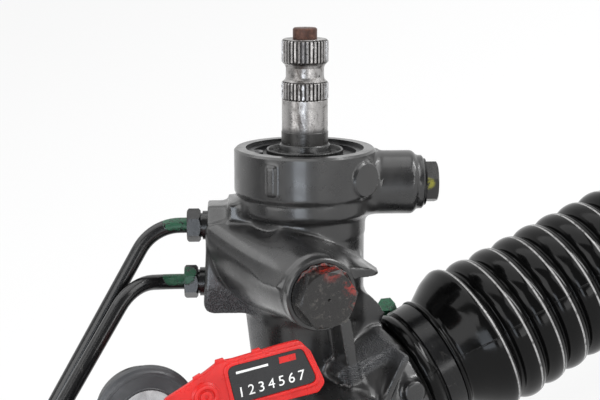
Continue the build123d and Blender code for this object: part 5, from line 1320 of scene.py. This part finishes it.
def tag(red, black, white):
    """Seal tag: red plate with a rim round a black number panel, and a round lock button."""
    outline = rounded(PLATE, [3, 1, 1, 1, 1, 3.2, 3, 3, 2.5, 2, 2, 3, 3, 2.5, 2.5, 2.5, 3], 5)
    plate = bevelled(prism("tag_plate", outline, 0.0, 2.0, TAG), 0.0004)
    pieces = [(plate, red)]
    rim_out = rounded(offset_outline(PANEL, -1.5), 4.2, 6)
    rim_in = rounded(PANEL, 3.0, 6)
    count = len(rim_out)
    verts = []
    for ring_points, z in ((rim_out, 1.6), (rim_out, 2.5), (rim_in, 2.7), (rim_in, 1.6)):
        verts += [row((x, y, z), TAG) for x, y in ring_points]
    faces = []
    for i in range(4):
        faces += ring_quads(i * count, (i + 1) % 4 * count, count)
    rim = new_object("tag_rim", verts, faces)
    outward(rim)
    pieces.append((bevelled(rim, 0.00025, 2), red))
    inner = rounded(offset_outline(PANEL, 0.12), 2.9, 6)
    pieces.append((bevelled(prism("tag_panel", inner, 1.8, 2.25, TAG), 0.0001, 1), black))
    button = TAG @ Matrix.Translation((-41.2, 55.7, 0))
    pieces.append((lathe("tag_button", rounded([
        (0, 1.5), (5.6, 1.5), (5.6, 2.3), (4.7, 2.5), (4.6, 3.3), (3.4, 3.4), (2.9, 2.7), (2.4, 2.6),
        (2.3, 3.3), (0.9, 3.3), (0.7, 2.7), (0, 2.7)],
        [0, .3, .3, .3, .3, .3, .2, .2, .3, .3, .2, 0], 3), button, 64), red))
    for i, (x, y, turn) in enumerate(((-30.9, 65.1, -14), (-17.1, 61.4, -14), (-40.8, 63.9, 2))):
        u, v = directions(turn)
        corners = [tuple(Vector((x, y)) + u * su * 1.9 + v * sv * 0.7)
                   for su, sv in ((-1, -1), (1, -1), (0.8, 1), (-0.8, 1))]
        pieces.append((bevelled(prism(f"tag_nib_{i}", corners, 0.5, 1.8, TAG), 0.0002, 2), red))
    curve = bpy.data.curves.new("tag_digits", "FONT")
    curve.body = "1234567"
    curve.size = 5.6
    curve.space_character = 1.42
    curve.extrude = 0.06
    curve.align_x = "CENTER"
    curve.align_y = "CENTER"
    curve.resolution_u = 4
    text = linked("tag_digits_curve", curve)
    tilt = Matrix.Rotation(math.radians(-15), 4, "Z")
    text.matrix_world = TO_ROW @ TAG @ Matrix.Translation((-17.3, 47.0, 2.3)) @ tilt
    bpy.context.view_layer.update()
    me = evaluated(text)
    me.transform(text.matrix_world)
    pieces.append((linked("tag_digits", me), white))
    bpy.data.objects.remove(text)
    u, v = directions(-15.8)
    bars = ((3.3, 15.9, 3.1, 0.45, white), (20.3, 26.9, 2.7, 1.25, red))
    for i, (low, high, drop, half, paint) in enumerate(bars):
        start = Vector((-29.9, 61.9)) - v * drop
        corners = [tuple(start + u * along + v * up)
                   for along, up in ((low, -half), (high, -half), (high, half), (low, half))]
        pieces.append((prism(f"tag_bar_{i}", corners, 2.2, 2.33, TAG), paint))
    for ob, material in pieces:
        paint_piece(ob, material)
        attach(ob, "housing")
    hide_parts("seal_tag")


# ---------------------------------------------------------------- rubber pieces
def dust_seal_piece(material):
    """Dust seal on the oil seal: flat skirt with a raised rim, and a lip up the shaft."""
    profile = rounded([
        (9.56, 110.65), (15.6, 110.65), (15.6, 113.0), (15.2, 113.4), (14.7, 113.0), (14.3, 111.2),
        (12.4, 110.8), (11.0, 111.2), (10.5, 113.0), (10.3, 114.9), (9.9, 115.4), (9.56, 115.4)],
        [0, 0.2, 0.3, 0.2, 0.3, 0.5, 0.5, 0.6, 0.8, 0.3, 0.2, 0], 3)
    ob = paint_piece(lathe("dust_seal_rubber", profile, PINION, 96), material)
    crease(ob, 50)
    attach(ob, "housing")
    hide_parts("dust_seal")


def mount_bush_pieces(material):
    """Rubber bush of each eye: wide near lip with a stepped face, and a small lip behind."""
    profile = [(9.02, -18.0), (11.9, -18.0), (12.3, -17.6), (16.9, -17.6), (17.4, -17.95), (18.3, -17.95),
               (18.9, -17.3), (19.9, -16.9), (20.4, -16.2), (20.4, -14.7), (19.8, -14.05), (13.0, -14.05),
               (12.98, -13.9), (12.98, -4.1), (13.0, -3.95), (15.6, -3.95), (15.6, -2.0), (14.6, -1.0),
               (9.02, -1.0)]
    for name, x in (("near", EYE_X), ("far", END_EYE_X)):
        place = basis((x, 0, EYE_Z), (1, 0, 0), (0, 1, 0))
        ob = paint_piece(lathe(name + "_mount_bush", rounded(profile, 0.3, 3), place, 128), material)
        crease(ob, 50)
        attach(ob, "housing")
        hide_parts("mount_bushes")


def dust_covers(material):
    """Rubber covers of the outer ball joints, which bend between the tie-rod end and the stud."""
    outer = [(17.6, -5.0), (17.6, -8.6), (18.0, -9.6), (18.9, -11.2), (18.9, -12.6), (18.2, -14.2),
             (16.6, -16.4), (14.2, -18.4), (12.0, -19.8), (10.9, -20.8), (10.4, -22.0), (10.5, -23.4),
             (10.1, -24.5), (7.52, -24.6)]
    inner = [(7.52, -21.2), (9.2, -20.6), (11.0, -18.6), (13.6, -16.8), (15.6, -15.0), (17.0, -13.0),
             (17.3, -12.2), (16.2, -9.2), (15.6, -8.8), (15.52, -5.0)]
    for side, stud in STUDS.items():
        ob = paint_piece(lathe(side + "_dust_cover_rubber", rounded(outer + inner, 0.4, 2), stud, 72), material)
        crease(ob, 60)
        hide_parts(side + "_dust_cover")
        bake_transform(ob)


# ---------------------------------------------------------------- sealant on the side plug
SEALANT_SEED = 5


def sealant(material):
    """Lumpy bead of sealant squeezed out round the top and right of the side bore's plug."""
    rng = np.random.default_rng(SEALANT_SEED)
    verts = []
    faces = []
    steps = 90
    sides = 10
    phase = rng.uniform(0, 6.28, 6)
    for i in range(steps + 1):
        t = i / steps
        a = math.radians(150 - 245 * t)
        swell = 0.55 + 0.45 * math.sin(a * 5 + phase[0]) * math.sin(a * 11 + phase[1])
        swell = max(0.12, swell) * min(1, 8 * t, 8 * (1 - t))
        r = 11.6 + 0.35 * math.sin(a * 7 + phase[2])
        for k in range(sides):
            b = 2 * math.pi * k / sides
            wide = 1.35 * swell + 0.1
            tall = 1.5 * swell + 0.1
            rr = r + wide * math.cos(b) * (1 + 0.25 * math.sin(3 * a + b * 2 + phase[3]))
            s = 50.5 + tall * math.sin(b) * (1 + 0.3 * math.sin(9 * a + phase[4]))
            verts.append(row((rr * math.cos(a), rr * math.sin(a), s), SIDE))
    for i in range(steps):
        faces += ring_quads(i * sides, (i + 1) * sides, sides)
    faces.append(tuple(range(sides)))
    faces.append(tuple(steps * sides + k for k in range(sides)))
    ob = new_object("plug_sealant", verts, faces)
    outward(ob)
    paint_piece(ob, material)
    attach(ob, "housing")


def sealant_paint():
    """Dark red sealant half covered by the black paint."""
    s = Shader("sealant_red")
    patch = s.noise(260, 4, 0.6, 1.0)
    red = s.ramp(patch, (0.42, (0.008, 0.007, 0.007)), (0.52, (0.06, 0.010, 0.008)),
                 (0.62, (0.26, 0.028, 0.015)))
    s.set(Base_Color=red, Roughness=s.spread(patch, 0.3, 0.7, 0.22, 0.42))
    s.bump((patch, 0.7, 0.0006), (s.noise(900, 3), 0.3, 0.0003))
    return s.mat


def plug_paint():
    """Black paint on the side plug, worn thin to brown metal, with smears of sealant."""
    s = Shader("plug_black")
    patch = s.noise(330, 5, 0.65, 1.2)
    wear = s.noise(520, 4, 0.65, 0.5)
    near = s.most(s.ball(row((1.0, 10.6, 54.0), SIDE), 0.0040, 0.0020),
                  s.ball(row((9.6, 4.4, 56.0), SIDE), 0.0034, 0.0020))
    near = s.most(near, s.ball(row((10.8, -2.8, 54.5), SIDE), 0.0030, 0.0016))
    smear = s.times(near, s.spread(patch, 0.44, 0.54))
    black = s.mix(s.spread(wear, 0.56, 0.66), (0.0105, 0.0095, 0.009), (0.045, 0.040, 0.035))
    s.set(Base_Color=s.mix(smear, black, (0.20, 0.016, 0.010)))
    s.set(Roughness=s.spread(wear, 0.3, 0.7, 0.16, 0.34))
    s.bump((patch, 0.16, 0.0005), (wear, 0.10, 0.0003))
    return s.mat


def return_plug_paint():
    """Black paint on the return port's plug, with a yellow mark."""
    s = Shader("return_plug_black")
    mark = s.times(s.ball(row((81.4, -7.1, 72.8)), 0.0024, 0.0008), s.spread(s.noise(600, 3), 0.35, 0.5))
    s.set(Base_Color=s.mix(mark, (0.011, 0.0105, 0.010), (0.20, 0.19, 0.012)))
    s.set(Roughness=s.spread(s.noise(200, 4), 0.3, 0.7, 0.24, 0.40))
    s.bump((s.noise(500, 4), 0.3, 0.0003))
    return s.mat


def sand_mask(ob):
    """Marks where the casting keeps its rough sand skin."""
    me = ob.data
    co = np.empty(len(me.vertices) * 3)
    me.vertices.foreach_get("co", co)
    co = co.reshape(-1, 3) * 1000 + np.array(ORIGIN)
    x, y, z = co.T
    a, _, h = in_ports(x, y, z)
    step = smooth_step
    block = step(a, 16, 22) * step(h, 60, 54) * step(a, 43.5, 42.2)
    ledge = step(x, 12, 15) * step(x, 40, 38) * step(z, 18, 21) * step(z, 27, 25) * step(y, 2, -3)
    mask = np.maximum(block, 0.8 * ledge)
    attribute = me.attributes.get("sand") or me.attributes.new("sand", "FLOAT", "POINT")
    attribute.data.foreach_set("value", mask.astype(np.float32))


# ---------------------------------------------------------------- the scene
camera()
world()
floor()
black = cast_black()
housing = paint_piece(housing_piece(), black)
sand_mask(housing)
far_end = paint_piece(end_piece(), black)
sand_mask(far_end)

nut_marks = [(row((1.5, -2.0, z), LINE_PORTS[0]), 0.0031) for z in (49.0, 52.0, 55.0)]
nut_marks += [(row((3.2, -3.0, z), LINE_PORTS[1]), 0.0040) for z in (48.2, 51.0, 54.5)]
dress(green_on("line_black", nut_marks), "near_tube", "far_tube", "tube_nuts")
dress(line_black(), "cylinder_tube", "port_washer", "press_in_plug", "guide_lock_nut", "guide_cap",
      "bottom_cap", "big_clamps")
dress(plug_paint(), "side_bore_plug")
dress(return_plug_paint(), "port_plug")
dress(green_on("clamp_screw_green", [(row((53.4, 23.3, 20.0)), 0.0085)], (0.008, 0.13, 0.055)), "clamp_screws")
dress(bare_steel(), "input_shaft")
dress(rust_steel(), "torsion_bar")
METALS = (
    # name, light colour, dark colour, roughness, metallic, nodes
    ("pin_steel", (0.10, 0.095, 0.09), (0.03, 0.028, 0.026), 0.42, 1.0, "cross_pin"),
    ("ring_steel", (0.085, 0.085, 0.09), (0.03, 0.03, 0.03), 0.34, 1.0, "retaining_ring"),
    ("ground_steel", (0.56, 0.56, 0.57), (0.40, 0.40, 0.41), 0.24, 1.0,
     "rack_bar pinion valve_sleeve upper_bearing lower_bearing damper_spool mount_sleeves"),
    ("dark_steel", (0.16, 0.16, 0.165), (0.07, 0.07, 0.07), 0.38, 1.0,
     "pinion_nut piston damper_spring guide_spring ball_sockets"),
    ("zinc_steel", (0.52, 0.51, 0.47), (0.34, 0.33, 0.29), 0.33, 1.0,
     "right_jam_nut left_jam_nut right_stud_nut left_stud_nut"),
    ("bush_bronze", (0.50, 0.30, 0.13), (0.30, 0.17, 0.07), 0.36, 1.0, "rack_bushes"),
    ("guide_alloy", (0.50, 0.50, 0.50), (0.36, 0.36, 0.36), 0.40, 1.0, "rack_guide"),
    ("forged_end", (0.030, 0.030, 0.031), (0.012, 0.012, 0.012), 0.36, 0.0,
     "right_tie_rod_end left_tie_rod_end"),
    ("cuff_clamp_steel", (0.45, 0.45, 0.44), (0.28, 0.28, 0.27), 0.33, 1.0,
     "right_small_clamp left_small_clamp"),
)
for name, light, dark, rough, metallic, nodes in METALS:
    dress(plain_metal(name, light, dark, rough, metallic), *nodes.split())
for side, stop, sign in (("right", RIGHT_STOP, 1), ("left", LEFT_STOP, -1)):
    rod = row((stop, 0, 0))
    dress(threaded(side + "_rod_steel", (0.20, 0.20, 0.205), 0.34, rod, (sign, 0, 0), 0.286, 0.366, 0.0015),
          side + "_tie_rod")
    stud = row((0, 0, 0), STUDS[side])
    dress(threaded(side + "_stud_steel", (0.46, 0.46, 0.47), 0.28, stud, (0, 0, -1), 0.0415, 0.0565, 0.00125),
          side + "_ball_stud")
dress(plastic("ring_plastic", (0.035, 0.034, 0.033), 0.45), "sleeve_rings", "piston_ring")
dress(plastic("seat_plastic", (0.62, 0.61, 0.57), 0.40), "ball_seats")
dress(plastic("strap_red", (0.50, 0.008, 0.006), 0.33), "seal_strap")
dress(soft_rubber("seal_rubber", (0.014, 0.014, 0.014), 0.42), "oil_seal", "rack_seals", "pinion_seal",
      "side_plug_o_ring")
dust_seal_piece(soft_rubber("dust_rubber", (0.011, 0.011, 0.011), 0.30))
mount_bush_pieces(soft_rubber("mount_rubber", (0.040, 0.041, 0.044), 0.42))
dust_covers(soft_rubber("cover_rubber", (0.016, 0.016, 0.016), 0.38))

SEAM = math.radians(-71)
seam_normal = (0, math.cos(SEAM), -math.sin(SEAM))
boot_paints = {}
for side, crest, sign in (("right", RIGHT_STOP + CREST_FIRST, 1), ("left", LEFT_STOP - CREST_FIRST, -1)):
    first_shoulder = row((crest + 1.5, 0, 0)).x
    boot_paints[side] = boot_rubber(side + "_boot_black", seam_normal, row((0, 0, -1.2)), first_shoulder, sign)
boots(boot_paints)
sealant(sealant_paint())
tag(plastic("tag_red", (0.56, 0.006, 0.004), 0.30), plastic("tag_black", (0.014, 0.014, 0.015), 0.30),
    plastic("tag_white", (0.78, 0.78, 0.76), 0.4))

focus = (0.05, 0.0, -0.02)
lamp("key_left", (-1.15, -0.66, 0.95), focus, (1.5, 1.2), 17)
lamp("key_right", (1.05, -0.80, 0.60), focus, (0.8, 1.1), 8)
lamp("rim_right", (1.35, -0.25, 0.50), (0.2, 0.0, -0.02), (0.20, 0.8), 7)
lamp("top", (0.1, 0.15, 1.25), focus, (1.8, 1.2), 12)
lamp("front_left", (-0.60, -1.18, 0.10), (0.08, 0.0, 0.03), (0.42, 0.9), 6.5, (0.84, 0.91, 1.0))
lamp("low_front", (0.45, -1.1, 0.0), focus, (0.8, 0.22), 2.0)

scene = bpy.context.scene
scene.view_settings.view_transform = "Standard"
